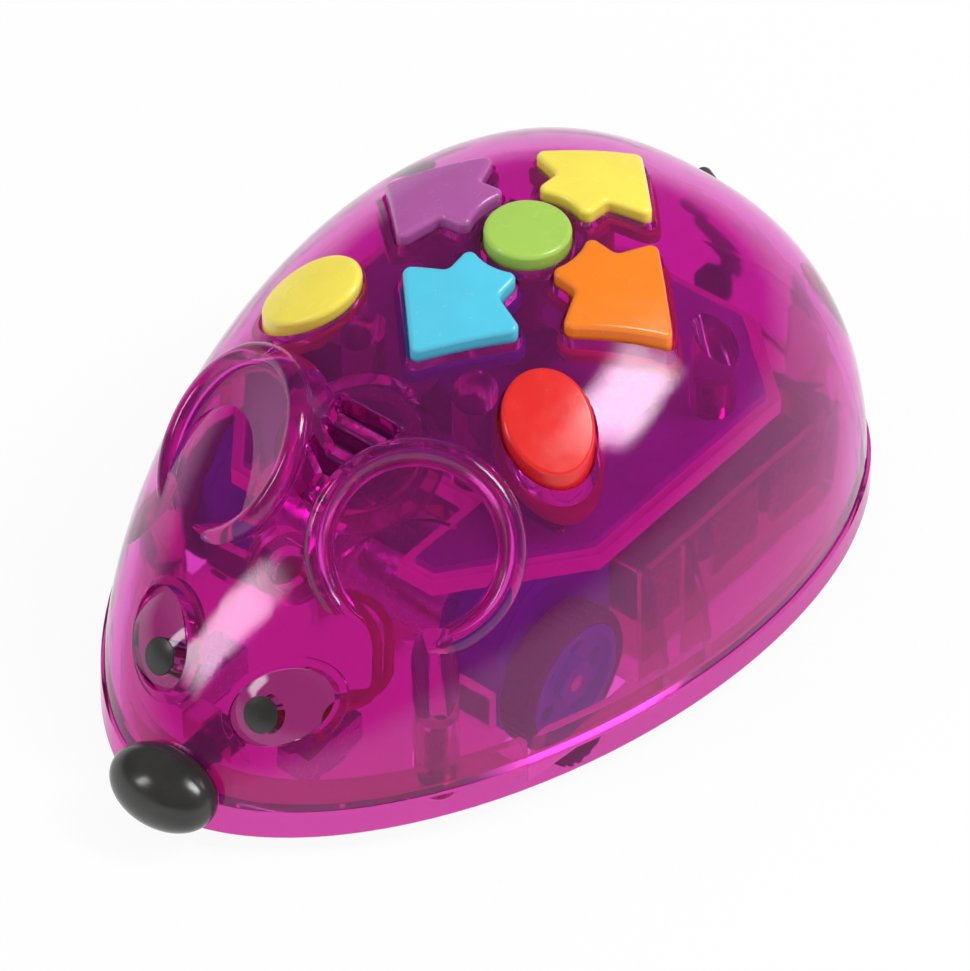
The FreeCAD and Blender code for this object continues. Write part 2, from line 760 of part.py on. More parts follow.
AXLE, COMPOUND, MOTOR = gear_centres()
STAGE_ONE = GEARBOX_START + GEARBOX_WALL + GEAR_SPACE
STAGE_TWO = STAGE_ONE + GEAR_WIDTH + STAGE_GAP
COVER_START = STAGE_TWO + GEAR_WIDTH + GEAR_SPACE
COVER_END = COVER_START + GEARBOX_WALL
WHEEL_START = COVER_END + WHEEL_GAP
BOX_FRONT = AXLE.y - tip_radius(WHEEL_GEAR_TEETH) - GEAR_SPACE - GEARBOX_WALL
BOX_REAR = COMPOUND.y + tip_radius(COMPOUND_TEETH) + GEAR_SPACE + GEARBOX_WALL
BOX_TOP = COMPOUND.z + tip_radius(COMPOUND_TEETH) + GEAR_SPACE + GEARBOX_WALL
BAY_FRONT = BOX_REAR + SIDE_GAP + BAY_WALL
BAY_REAR = BAY_FRONT + CELL_COUNT * CELL_PITCH
BAY_HALF = CELL_LENGTH / 2 + CONTACT_BULGE + CONTACT_THICK + SEAT_GAP
CELL_Z = FLOOR_Z + SEAT_GAP + CELL_RADIUS
BAY_TOP = CELL_Z + CELL_RADIUS + SEAT_GAP
DOOR_TAB_Y = BAY_FRONT - BAY_WALL - DOOR_TAB_RADIUS
SKID_Y = REAR_Y - SKID_FROM_REAR
SWITCH_Y = FRONT_Y + SWITCH_FROM_FRONT


def door_outline(gap, low, high):
    """Battery door or the step it lies in: a plate with a round screw tab in front."""
    half = BAY_HALF + DOOR_LEDGE - gap
    plate = box(V(-half, BAY_FRONT - DOOR_LEDGE + gap, low), V(half, BAY_REAR + DOOR_LEDGE - gap, high))
    radius = DOOR_TAB_RADIUS - gap
    tab = rod(radius, V(0, DOOR_TAB_Y, low), V(0, DOOR_TAB_Y, high))
    neck = box(V(-radius, DOOR_TAB_Y, low), V(radius, BAY_FRONT, high))
    return plate.fuse([tab, neck])


def bay_walls():
    outer = box(V(-BAY_HALF - BAY_WALL, BAY_FRONT - BAY_WALL, FLOOR_Z - SEAT_GAP),
                V(BAY_HALF + BAY_WALL, BAY_REAR + BAY_WALL, BAY_TOP + BAY_ROOF))
    inner = box(V(-BAY_HALF, BAY_FRONT, RIDE_HEIGHT), V(BAY_HALF, BAY_REAR, BAY_TOP))
    return outer.cut(inner)


def gusset(index):
    """Tall pointed rib that stands on the base floor and follows the dome's wall."""
    y = FRONT_Y + GUSSET_FROM_FRONT + index * GUSSET_PITCH
    inset = -WALL - LIP_GAP - SIDE_GAP
    foot = FLOOR_THICK - SEAT_GAP
    outer = [wall_x(y, height, inset) for height in (LIP_TOP, LIP_TOP + GUSSET_HEIGHT / 2, LIP_TOP + GUSSET_HEIGHT)]
    corners = [
        V(outer[0] - GUSSET_DEPTH, y, RIDE_HEIGHT + foot),
        V(outer[0], y, RIDE_HEIGHT + foot),
        V(outer[0], y, RIDE_HEIGHT + LIP_TOP),
        V(outer[1], y, RIDE_HEIGHT + LIP_TOP + GUSSET_HEIGHT / 2),
        V(outer[2], y, RIDE_HEIGHT + LIP_TOP + GUSSET_HEIGHT),
        V(outer[2] - GUSSET_TOP, y, RIDE_HEIGHT + LIP_TOP + GUSSET_HEIGHT),
    ]
    return Part.Face(Part.makePolygon(corners + corners[:1])).extrude(V(0, GUSSET_THICK, 0))


def base_fixtures():
    """Lip, walls, cradles, gussets and sockets that stand on the base floor."""
    pieces = [bay_walls()]
    for index in range(GUSSET_COUNT):
        pieces += both_sides(gusset(index))
    lip_low = FLOOR_THICK - SEAT_GAP
    lip = skirt(-WALL - LIP_GAP, lip_low, LIP_TOP)
    pieces.append(lip.cut(skirt(-WALL - LIP_GAP - LIP_THICK, lip_low, LIP_TOP)))
    cradle_top = MOTOR.z - MOTOR_FLAT - SEAT_GAP
    for x in (GEARBOX_START - MOTOR_LENGTH + CRADLE_INSET, GEARBOX_START - CRADLE_INSET):
        low = V(x - CRADLE_THICK / 2, MOTOR.y - MOTOR_FLAT, FLOOR_Z - SEAT_GAP)
        pieces += both_sides(box(low, V(x + CRADLE_THICK / 2, MOTOR.y + MOTOR_FLAT, cradle_top)))
    for y in (BOX_FRONT - SEAT_GAP - CRADLE_THICK, BOX_REAR + SEAT_GAP):
        low = V(GEARBOX_START, y, FLOOR_Z - SEAT_GAP)
        rib = box(low, V(COVER_START, min(y + CRADLE_THICK, BAY_FRONT), AXLE.z))
        pieces += both_sides(rib)
    stem_end = FRONT_Y + NOSE_REACH + NOSE_STEM_LENGTH
    nose_z = RIDE_HEIGHT + NOSE_CENTRE_HEIGHT
    socket = NOSE_STEM_RADIUS + SEAT_GAP + CUP_WALL
    low = V(-socket, stem_end - NOSE_STEM_LENGTH / 2, FLOOR_Z - SEAT_GAP)
    pieces.append(box(low, V(socket, stem_end, nose_z + socket)))
    tab_boss = rod(POST_RADIUS, V(0, DOOR_TAB_Y, FLOOR_Z - SEAT_GAP), V(0, DOOR_TAB_Y, FLOOR_Z + SCREW_BITE))
    pieces.append(tab_boss)
    return pieces


def base_cuts():
    """Door step and opening, wheel slots, switch slots, screw holes and seats for nose and skid."""
    cuts = [door_outline(0, 0, RIDE_HEIGHT + DOOR_THICK)]
    cuts.append(box(V(-BAY_HALF, BAY_FRONT, 0), V(BAY_HALF, BAY_REAR, BAY_TOP)))
    half = WHEEL_RADIUS + SLOT_GAP
    slot = box(V(WHEEL_START - SLOT_GAP, AXLE.y - half, 0),
               V(WHEEL_START + WHEEL_WIDTH + SLOT_GAP, AXLE.y + half, RIDE_HEIGHT + LIP_TOP + SEAT_GAP))
    cuts += both_sides(slot)
    for side in (1, -1):
        centre = V(side * SWITCH_SIDE, SWITCH_Y, RIDE_HEIGHT)
        reach = V(KNOB_WIDTH / 2 + SIDE_GAP, (KNOB_LENGTH + SWITCH_TRAVEL) / 2 + SIDE_GAP, 0)
        cuts.append(box(centre - reach - UP, centre + reach + UP * (FLOOR_THICK + SEAT_GAP)))
    for place in case_post_places():
        cuts.append(rod(SCREW_RADIUS + SEAT_GAP, place, place + UP * SEAM_Z))
        head_top = RIDE_HEIGHT + SCREW_HEAD_HEIGHT + SEAT_GAP
        cuts.append(rod(SCREW_HEAD_RADIUS + SEAT_GAP, place, place + UP * head_top))
    tab = V(0, DOOR_TAB_Y, 0)
    cuts.append(rod(SCREW_RADIUS + SEAT_GAP / 2, tab, tab + UP * (FLOOR_Z + SCREW_BITE - WALL)))
    cuts.append(rod(SKID_STEM_RADIUS + SEAT_GAP, V(0, SKID_Y, 0), V(0, SKID_Y, SEAM_Z)))
    cuts += [nose_ball(SEAT_GAP), nose_stem(SEAT_GAP)]
    return cuts


def base_tray():
    chamfer = Part.makeLoft([
        level_outline(SKIRT_CHAMFER, SKIRT_LEDGE - SKIRT_CHAMFER, RIDE_HEIGHT),
        level_outline(SKIRT_CHAMFER, SKIRT_LEDGE, RIDE_HEIGHT + SKIRT_CHAMFER),
    ], True, True)
    tray = chamfer.fuse(skirt(SKIRT_LEDGE, SKIRT_CHAMFER, SKIRT_HEIGHT))
    tray = tray.cut(skirt(-WALL - LIP_GAP - LIP_THICK, FLOOR_THICK, LIP_TOP))
    return tray.fuse(base_fixtures()).cut(base_cuts())


def battery_door():
    door = door_outline(DOOR_GAP, RIDE_HEIGHT, RIDE_HEIGHT + DOOR_THICK - SEAT_GAP)
    inner = box(V(-BAY_HALF + DOOR_GAP, BAY_FRONT + DOOR_GAP, RIDE_HEIGHT),
                V(BAY_HALF - DOOR_GAP, BAY_REAR - DOOR_GAP, FLOOR_Z))
    tab = V(0, DOOR_TAB_Y, 0)
    holes = [
        rod(SCREW_RADIUS + SEAT_GAP, tab, tab + UP * FLOOR_Z),
        rod(SCREW_HEAD_RADIUS + SEAT_GAP, tab, tab + UP * (RIDE_HEIGHT + DOOR_THICK / 2)),
    ]
    return door.fuse(inner).cut(holes)


def battery_door_screw():
    return screw(V(0, DOOR_TAB_Y, RIDE_HEIGHT + DOOR_THICK / 2), SCREW_BITE - WALL)


def rear_skid():
    """Glide pad: a flat foot on the floor, a round flank and a stem through the base."""
    pad = spin_profile([
        (0, 0),
        (SKID_FOOT_RADIUS, 0),
        (SKID_RADIUS, RIDE_HEIGHT - SEAT_GAP),
        (SKID_STEM_RADIUS, RIDE_HEIGHT - SEAT_GAP),
        (SKID_STEM_RADIUS, FLOOR_Z + SEAT_GAP),
        (SKID_STEM_RADIUS + TAIL_FLANGE, FLOOR_Z + SEAT_GAP),
        (SKID_STEM_RADIUS, FLOOR_Z + SEAT_GAP + TAIL_FLANGE),
        (0, FLOOR_Z + SEAT_GAP + TAIL_FLANGE),
    ])
    return pad.translated(V(0, SKID_Y, 0))


# Slide switches
def switch_body(side):
    centre = V(side * SWITCH_SIDE, SWITCH_Y, FLOOR_Z + SEAT_GAP)
    half = V(SWITCH_WIDTH / 2, SWITCH_LENGTH / 2, 0)
    body = box(centre - half, centre + half + UP * SWITCH_HEIGHT)
    reach = V(KNOB_WIDTH / 2 + SIDE_GAP, (KNOB_LENGTH + SWITCH_TRAVEL) / 2 + SIDE_GAP, 0)
    return body.cut(box(centre - reach, centre + reach + UP * (SWITCH_HEIGHT / 2)))


def switch_knob(side):
    """Slider at the rear end of its slot, its finger end just inside the base's underside."""
    rear = SWITCH_Y + SWITCH_TRAVEL / 2
    low = V(side * SWITCH_SIDE - KNOB_WIDTH / 2, rear - KNOB_LENGTH / 2, KNOB_CLEAR)
    high = V(low.x + KNOB_WIDTH, rear + KNOB_LENGTH / 2, FLOOR_Z + SWITCH_HEIGHT / 2 - SEAT_GAP)
    return box(low, high)


# Drive
def gear(teeth, centre, start, width, bore, toward):
    """Spur gear about X, with one tooth pointing at an angle from +Y towards +Z."""
    pitch = MODULE * teeth / 2
    base = pitch * math.cos(math.radians(PRESSURE_ANGLE))
    root = pitch - DEDENDUM * MODULE
    tip = tip_radius(teeth)

    def involute(radius):
        roll = math.acos(min(1.0, base / radius))
        return math.tan(roll) - roll

    half_pitch = (math.pi * MODULE / 2 - BACKLASH) / 2 / pitch
    radii = [root, max(base, root), pitch, tip]
    points = []
    for tooth in range(teeth):
        middle = toward + 2 * math.pi * tooth / teeth
        flank = [half_pitch + involute(pitch) - involute(radius) for radius in radii]
        rising = [(radius, middle - half) for radius, half in zip(radii, flank)]
        falling = [(radius, middle + half) for radius, half in zip(radii, flank)]
        for radius, angle in rising + falling[::-1]:
            points.append(centre + V(start, radius * math.cos(angle), radius * math.sin(angle)))
    blank = Part.Face(Part.makePolygon(points + points[:1])).extrude(V(width, 0, 0))
    return blank.cut(rod(bore, centre + V(start - width, 0, 0), centre + V(start + 2 * width, 0, 0)))


def line_angle(start, end):
    return math.atan2(end.z - start.z, end.y - start.y)


def wheel_gear():
    toward = line_angle(AXLE, COMPOUND) + math.pi / WHEEL_GEAR_TEETH
    return gear(WHEEL_GEAR_TEETH, AXLE, STAGE_TWO, GEAR_WIDTH, AXLE_RADIUS, toward)


def compound_gear():
    big = gear(COMPOUND_TEETH, COMPOUND, STAGE_ONE, GEAR_WIDTH, AXLE_RADIUS + RUN_GAP,
               line_angle(COMPOUND, MOTOR))
    small = gear(PINION_TEETH, COMPOUND, STAGE_ONE + GEAR_WIDTH, STAGE_GAP + GEAR_WIDTH,
                 AXLE_RADIUS + RUN_GAP, line_angle(COMPOUND, AXLE))
    return big.fuse(small)


def motor_pinion():
    toward = line_angle(MOTOR, COMPOUND) + math.pi / PINION_TEETH
    return gear(PINION_TEETH, MOTOR, STAGE_ONE, GEAR_WIDTH, MOTOR_SHAFT_RADIUS, toward)


def motor_shaft():
    start = V(GEARBOX_START - MOTOR_LENGTH / 2, 0, 0)
    return rod(MOTOR_SHAFT_RADIUS, MOTOR + start, MOTOR + V(STAGE_ONE + GEAR_WIDTH, 0, 0))


def motor():
    """Small can motor with two flats and a round neck that seats in the gearbox wall."""
    start = V(GEARBOX_START - MOTOR_LENGTH, 0, 0)
    end = V(GEARBOX_START - SEAT_GAP, 0, 0)
    can = rod(MOTOR_RADIUS, MOTOR + start, MOTOR + end)
    flats = box(MOTOR + start - V(1, MOTOR_RADIUS, MOTOR_FLAT), MOTOR + end + V(1, MOTOR_RADIUS, MOTOR_FLAT))
    neck = rod(MOTOR_NECK_RADIUS, MOTOR + end, MOTOR + end + V(GEARBOX_WALL, 0, 0))
    bore = rod(MOTOR_SHAFT_RADIUS + RUN_GAP, MOTOR + start + V(MOTOR_LENGTH / 4, 0, 0),
               MOTOR + end + V(2 * GEARBOX_WALL, 0, 0))
    return can.common(flats).fuse(neck).cut(bore)


def gearbox_outline(inset):
    """Side of the gearbox, drawn on past the base floor that it stands on."""
    low = FLOOR_Z - 2 * GEARBOX_CORNER
    corners = [
        V(0, BOX_FRONT + inset, low),
        V(0, BOX_REAR - inset, low),
        V(0, BOX_REAR - inset, BOX_TOP - inset),
        V(0, MOTOR.y, BOX_TOP - inset),
        V(0, BOX_FRONT + inset, MOTOR.z),
    ]
    return rounded_outline(corners, GEARBOX_CORNER - inset)


def under_gearbox():
    return box(V(0, BOX_FRONT - GEARBOX_WALL, -SKY), V(BODY_WIDTH, BOX_REAR + GEARBOX_WALL, FLOOR_Z + SEAT_GAP))


def gearbox_case():
    """Cup round the gears: its inner wall holds the motor's neck, the axle and the gear pin."""
    case = gearbox_outline(0).extrude(V(COVER_START - GEARBOX_START, 0, 0))
    case.translate(V(GEARBOX_START, 0, 0))
    hollow = gearbox_outline(GEARBOX_WALL).extrude(V(COVER_START, 0, 0))
    hollow.translate(V(GEARBOX_START + GEARBOX_WALL, 0, 0))
    wall = V(GEARBOX_START - 1, 0, 0)
    through = V(GEARBOX_START + 2 * GEARBOX_WALL, 0, 0)
    holes = [
        rod(MOTOR_NECK_RADIUS + SEAT_GAP, MOTOR + wall, MOTOR + through),
        rod(AXLE_RADIUS + RUN_GAP, AXLE + wall, AXLE + through),
        rod(AXLE_RADIUS, COMPOUND + wall, COMPOUND + through),
    ]
    return case.cut([hollow, under_gearbox()] + holes)


def gearbox_cover():
    cover = gearbox_outline(0).extrude(V(GEARBOX_WALL - SEAT_GAP, 0, 0))
    cover.translate(V(COVER_START + SEAT_GAP, 0, 0))
    start = V(COVER_START - 1, 0, 0)
    end = V(COVER_END + 1, 0, 0)
    holes = [
        rod(AXLE_RADIUS + RUN_GAP, AXLE + start, AXLE + end),
        rod(AXLE_RADIUS, COMPOUND + start, COMPOUND + end),
    ]
    return cover.cut([under_gearbox()] + holes)


def gear_pin():
    return rod(AXLE_RADIUS, COMPOUND + V(GEARBOX_START, 0, 0), COMPOUND + V(COVER_END, 0, 0))


def wheel_axle():
    return rod(AXLE_RADIUS, AXLE + V(GEARBOX_START, 0, 0), AXLE + V(WHEEL_START + WHEEL_WIDTH, 0, 0))


def about_axle(solid):
    return placed(solid, AXLE + V(WHEEL_START, 0, 0), V(1, 0, 0), V(0, 1, 0))


def wheel_hub():
    """Wheel with a rim, a thin web with round holes and a boss on the axle."""
    rim = WHEEL_RADIUS - TYRE_THICK
    inner = rim - WHEEL_WEB / 2
    web_low = (WHEEL_WIDTH - WHEEL_WEB) / 2
    web_high = (WHEEL_WIDTH + WHEEL_WEB) / 2
    wheel = spin_profile([
        (AXLE_RADIUS, 0), (HUB_RADIUS, 0), (HUB_RADIUS, web_low), (inner, web_low), (inner, 0),
        (rim, 0), (rim, WHEEL_WIDTH), (inner, WHEEL_WIDTH), (inner, web_high),
        (HUB_RADIUS, web_high), (HUB_RADIUS, WHEEL_WIDTH), (AXLE_RADIUS, WHEEL_WIDTH),
    ])
    holes = []
    for index in range(SPOKE_HOLES):
        angle = 2 * math.pi * index / SPOKE_HOLES
        foot = V(SPOKE_HOLE_OUT * math.cos(angle), SPOKE_HOLE_OUT * math.sin(angle), 0)
        holes.append(rod(SPOKE_HOLE_RADIUS, foot, foot + UP * WHEEL_WIDTH))
    return about_axle(wheel.cut(holes))


def tyre():
    inner = WHEEL_RADIUS - TYRE_THICK
    band = spin_profile([
        (inner, 0), (WHEEL_RADIUS, 0), (WHEEL_RADIUS, WHEEL_WIDTH), (inner, WHEEL_WIDTH),
    ])
    middle = inner + TYRE_THICK / 2
    rims = [edge for edge in band.Edges if edge.isClosed() and edge.BoundBox.XMax > middle]
    return about_axle(band.makeFillet(TYRE_ROUND, rims))


# Cells and contacts
def cell_y(index):
    return BAY_FRONT + CELL_PITCH * (index + 0.5)


def cell(index):
    """Dry cell along X with its nub; neighbours lie the other way round."""
    way = 1 if index % 2 else -1
    half = CELL_LENGTH / 2
    start = V(-way * half, cell_y(index), CELL_Z)
    shoulder = V(way * (half - CELL_NUB_LENGTH), cell_y(index), CELL_Z)
    end = V(way * half, cell_y(index), CELL_Z)
    return rod(CELL_RADIUS, start, shoulder).fuse(rod(CELL_NUB_RADIUS, shoulder, end))


def battery_contacts():
    """Plate at each end of each cell, with a domed spring tongue that reaches it."""
    contacts = []
    for index in range(CELL_COUNT):
        for side in (1, -1):
            wall = side * (BAY_HALF - SEAT_GAP)
            near = wall - side * CONTACT_THICK
            low = V(min(wall, near), cell_y(index) - CONTACT_WIDTH / 2, CELL_Z - CONTACT_HEIGHT / 2)
            high = V(max(wall, near), cell_y(index) + CONTACT_WIDTH / 2, CELL_Z + CONTACT_HEIGHT / 2)
            foot = V(near, cell_y(index), CELL_Z)
            tongue = Part.makeCone(CELL_NUB_RADIUS, CELL_NUB_RADIUS / 2, CONTACT_BULGE - SEAT_GAP,
                                   foot, V(-side, 0, 0))
            contacts.append(box(low, high).fuse(tongue))
    return contacts


# Board and tray
def tray_outline(inset, z):
    """Eight-sided plate with a notch at the front for the speaker cup."""
    half = [
        V(TRAY_NOTCH_HALF_WIDTH + inset, FRONT_Y + TRAY_NOTCH_REAR + inset, z),
        V(TRAY_NOTCH_HALF_WIDTH + inset, FRONT_Y + TRAY_FRONT + inset, z),
        V(TRAY_NOSE_HALF_WIDTH - inset / 2, FRONT_Y + TRAY_FRONT + inset, z),
        V(TRAY_HALF_WIDTH - inset, FRONT_Y + TRAY_SHOULDER + inset / 2, z),
        V(TRAY_HALF_WIDTH - inset, FRONT_Y + TRAY_HIP - inset / 2, z),
        V(TRAY_TAIL_HALF_WIDTH - inset / 2, FRONT_Y + TRAY_REAR - inset, z),
    ]
    corners = half + [V(-corner.x, corner.y, z) for corner in reversed(half)]
    return Part.Face(Part.makePolygon(corners + corners[:1]))


def board_holes(low, high):
    return [rod(SCREW_RADIUS + SEAT_GAP, place + UP * low, place + UP * high)
            for place in board_post_places()]


def pcb_tray():
    tray = tray_outline(0, TRAY_HEIGHT).extrude(UP * (TRAY_THICK + TRAY_RIM))
    hollow = tray_outline(TRAY_RIM_WIDTH, TRAY_TOP).extrude(UP * TRAY_RIM)
    return tray.cut([hollow] + board_holes(TRAY_HEIGHT, TRAY_TOP))


def main_board():
    board = tray_outline(TRAY_RIM_WIDTH + SIDE_GAP, TRAY_TOP + SEAT_GAP / 2)
    return board.extrude(UP * (BOARD_THICK - SEAT_GAP)).cut(board_holes(TRAY_TOP, BOARD_TOP))


def controller_chip():
    centre = V(-CHIP_SIDE, FRONT_Y + CHIP_FROM_FRONT, BOARD_TOP)
    half = V(CHIP_WIDTH / 2, CHIP_LENGTH / 2, 0)
    return box(centre - half, centre + half + UP * CHIP_HEIGHT)


# Speaker, lamp and leads
def speaker_basket():
    basket = spin_profile([
        (0, -SPEAKER_DEPTH), (SPEAKER_MAGNET_RADIUS, -SPEAKER_DEPTH), (SPEAKER_MAGNET_RADIUS, -SPEAKER_RIM),
        (SPEAKER_RADIUS, -SPEAKER_RIM), (SPEAKER_RADIUS, -SEAT_GAP), (SPEAKER_RADIUS - SPEAKER_RIM, -SEAT_GAP),
        (SPEAKER_MAGNET_RADIUS / 2, -SPEAKER_RIM), (0, -SPEAKER_RIM),
    ])
    return placed(basket, *speaker_frame())


def speaker_cone():
    cone = spin_profile([
        (0, -SPEAKER_RIM + SEAT_GAP), (SPEAKER_MAGNET_RADIUS / 2, -SPEAKER_RIM + SEAT_GAP),
        (SPEAKER_RADIUS - SPEAKER_RIM, 0), (SPEAKER_MAGNET_RADIUS / 2, -SPEAKER_RIM + 4 * SEAT_GAP),
        (0, -SPEAKER_RIM + 6 * SEAT_GAP),
    ])
    return placed(cone, *speaker_frame())


def head_led():
    """Lamp with a round crown, a straight barrel and a rim at its foot."""
    foot = -LED_LENGTH
    crown = -LED_RADIUS - SEAT_GAP
    slant = LED_RADIUS * math.sqrt(0.5)
    corners = [V(LED_RADIUS, 0, foot), V(LED_RADIUS + LED_RIM, 0, foot),
               V(LED_RADIUS + LED_RIM, 0, foot - LED_RIM), V(0, 0, foot - LED_RIM), V(0, 0, -SEAT_GAP)]
    edges = [Part.Arc(V(0, 0, -SEAT_GAP), V(slant, 0, crown + slant), V(LED_RADIUS, 0, crown)).toShape(),
             Part.LineSegment(V(LED_RADIUS, 0, crown), corners[0]).toShape()]
    edges += [Part.LineSegment(start, end).toShape() for start, end in zip(corners, corners[1:])]
    lamp = Part.Face(Part.Wire(edges)).revolve(V(0, 0, 0), UP, 360)
    return placed(lamp, *led_frame())


def lead(points):
    """Round wire through points: straight runs joined by arcs as large as the runs allow."""
    edges = []
    last = points[0]
    for before, corner, after in zip(points, points[1:], points[2:]):
        back = before - corner
        ahead = after - corner
        reach = LEAD_ARC_SHARE * min(back.Length, ahead.Length)
        back.normalize()
        ahead.normalize()
        half = back.getAngle(ahead) / 2
        radius = reach * math.tan(half)
        middle = corner + (back + ahead).normalize() * (radius / math.sin(half) - radius)
        edges.append(Part.LineSegment(last, corner + back * reach).toShape())
        edges.append(Part.Arc(corner + back * reach, middle, corner + ahead * reach).toShape())
        last = corner + ahead * reach
        print("lead bend radius", round(radius, 1))
    edges.append(Part.LineSegment(last, points[-1]).toShape())
    path = Part.Wire(edges)
    ring = Part.Wire(Part.makeCircle(LEAD_RADIUS, points[0], points[1] - points[0]))
    wire = path.makePipeShell([ring], True, False)
    print("lead volume over section times length", round(wire.Volume / (math.pi * LEAD_RADIUS ** 2 * path.Length), 3))
    return wire


def led_leads():
    """Two wires from the lamp's foot, out and down the side, to the power switch."""
    lamp, normal = led_frame()
    foot = lamp - normal * (LED_LENGTH + LED_RIM + SEAT_GAP)
    switch = V(SWITCH_SIDE, SWITCH_Y, FLOOR_Z + SEAT_GAP + SWITCH_HEIGHT)
    wires = []
    for index in range(2):
        shift = V(0, LEAD_SPACING * (index - 0.5), 0)
        side = V(1, 0, 0) * (LEAD_SPACING / 2) * (1 - 2 * index)
        points = [
            foot - side,
            foot - side - normal * LEAD_DROP,
            foot + V(LEAD_OUT, LEAD_BACK, -LEAD_DROP) + shift,
            switch + V(LEAD_SWING, LEAD_BACK, LEAD_DROP) + shift,
            switch + V(0, 0, LEAD_DROP) + shift,
            switch + shift,
        ]
        wires.append(lead(points))
    return wires


def nose():
    return nose_ball(0).fuse(nose_stem(0)).removeSplitter()


def sided(name, shape):
    return {name + "_left": shape, name + "_right": mirrored(shape)}


nodes = {
    "upper_shell": upper_shell(),
    "base_tray": base_tray(),
    "battery_door": battery_door(),
    "battery_door_screw": battery_door_screw(),
    "case_screws": case_screws(),
    "board_screws": board_screws(),
    "rear_skid": rear_skid(),
    "nose": nose(),
    "tail": tail(),
    "pcb_tray": pcb_tray(),
    "main_board": main_board(),
    "controller_chip": controller_chip(),
    "tact_switches": tact_switches(),
    "speaker_basket": speaker_basket(),
    "speaker_cone": speaker_cone(),
    "led_leads": led_leads(),
    "head_led": head_led(),
    "battery_front": cell(0),
    "battery_middle": cell(1),
    "battery_rear": cell(2),
    "battery_contacts": battery_contacts(),
    "power_switch_body": switch_body(1),
    "speed_switch_body": switch_body(-1),
    "power_switch_knob": switch_knob(1),
    "speed_switch_knob": switch_knob(-1),
    "gear_pins": both_sides(gear_pin()),
}
nodes.update(sided("eye_lens", eye_lens()))
nodes.update(sided("pupil", pupil()))
nodes.update(sided("gearbox_case", gearbox_case()))
nodes.update(sided("gearbox_cover", gearbox_cover()))
nodes.update(sided("motor", motor()))
nodes.update(sided("motor_shaft", motor_shaft()))
nodes.update(sided("motor_pinion", motor_pinion()))
nodes.update(sided("compound_gear", compound_gear()))
nodes.update(sided("wheel_gear", wheel_gear()))
nodes.update(sided("wheel_axle", wheel_axle()))
nodes.update(sided("wheel_hub", wheel_hub()))
nodes.update(sided("tyre", tyre()))
turn_button = shaped_button(turn_face, TURN_PLACE)
oval_button = shaped_button(oval_face, OVAL_PLACE)
nodes["go_button"] = go_button()
nodes["forward_button"] = shaped_button(forward_face, FORWARD_PLACE)
nodes["back_button"] = shaped_button(back_face, BACK_PLACE)
nodes["left_button"] = turn_button
nodes["right_button"] = mirrored(turn_button)
nodes["action_button"] = oval_button
nodes["clear_button"] = mirrored(oval_button)

os.makedirs("parts", exist_ok=True)
for name, shape in nodes.items():
    pieces = shape if isinstance(shape, list) else [shape]
    solid = Part.makeCompound(pieces)
    solid.exportStep("parts/" + name + ".step")
    print(name, len(solid.Solids), round(solid.Volume, 1), solid.isValid())
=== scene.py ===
# %% [markdown]
# # A see-through robot mouse
# The toy is a domed magenta shell that you can look into. Coloured keys sit on its back, and a small
# geared drive, a board and three cells are inside. The solids come from the CAD frame at their real
# size, so this lesson is about light, camera and finishes, and about the small things that repeat.

# %% Load the frame
import json
import math

import bpy
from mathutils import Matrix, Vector


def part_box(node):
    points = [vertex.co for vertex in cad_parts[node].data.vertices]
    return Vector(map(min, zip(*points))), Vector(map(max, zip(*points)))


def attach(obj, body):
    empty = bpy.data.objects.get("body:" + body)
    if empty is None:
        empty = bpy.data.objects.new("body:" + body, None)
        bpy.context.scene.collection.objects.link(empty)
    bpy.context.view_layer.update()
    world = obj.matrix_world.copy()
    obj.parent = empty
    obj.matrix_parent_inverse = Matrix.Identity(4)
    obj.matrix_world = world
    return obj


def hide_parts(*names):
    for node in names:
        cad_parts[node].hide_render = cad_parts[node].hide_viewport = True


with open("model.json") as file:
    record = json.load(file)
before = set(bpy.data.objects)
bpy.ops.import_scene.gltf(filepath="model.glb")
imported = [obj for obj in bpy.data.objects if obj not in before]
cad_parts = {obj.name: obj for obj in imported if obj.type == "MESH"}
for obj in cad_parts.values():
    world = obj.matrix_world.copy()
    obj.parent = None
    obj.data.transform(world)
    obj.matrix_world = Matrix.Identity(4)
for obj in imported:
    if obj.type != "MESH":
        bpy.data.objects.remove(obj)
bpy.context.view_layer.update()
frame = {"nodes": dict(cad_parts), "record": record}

MM = 0.001
nodes = frame["nodes"]
print("pieces in the frame:", len(nodes))


# %% [markdown]
# ## Camera
# The photograph was taken from the front left of the mouse, a little above, with a long lens: the sides of
# the toy hardly converge. A long focal length far away gives that flat look, where a short lens would
# swell the nose.

# %% Camera
VIEW_AZIMUTH = math.radians(38.87)
VIEW_ELEVATION = math.radians(43.43)
VIEW_TARGET = Vector((2.12, 1.92, 13.26)) * MM
VIEW_DISTANCE = 886 * MM
LENS = 300.2
SENSOR_WIDTH = 36
NEAREST_SEEN = 0.01
FARTHEST_SEEN = 50


def direction(azimuth, elevation):
    """Unit vector from the object towards a place, azimuth 0 in front of the nose."""
    flat = math.cos(elevation)
    return Vector((math.sin(azimuth) * flat, -math.cos(azimuth) * flat, math.sin(elevation)))


def aim(holder, away, distance):
    """Put a camera or lamp at a distance from the object and point it back."""
    holder.location = VIEW_TARGET + away * distance
    holder.rotation_mode = "QUATERNION"
    holder.rotation_quaternion = (-away).to_track_quat("-Z", "Y")
    bpy.context.scene.collection.objects.link(holder)


camera_data = bpy.data.cameras.new("camera")
camera_data.lens = LENS
camera_data.sensor_width = SENSOR_WIDTH
camera_data.clip_start = NEAREST_SEEN
camera_data.clip_end = FARTHEST_SEEN
camera = bpy.data.objects.new("camera", camera_data)
aim(camera, direction(VIEW_AZIMUTH, VIEW_ELEVATION), VIEW_DISTANCE)
bpy.context.scene.camera = camera
print("camera at", [round(x, 3) for x in camera.location])


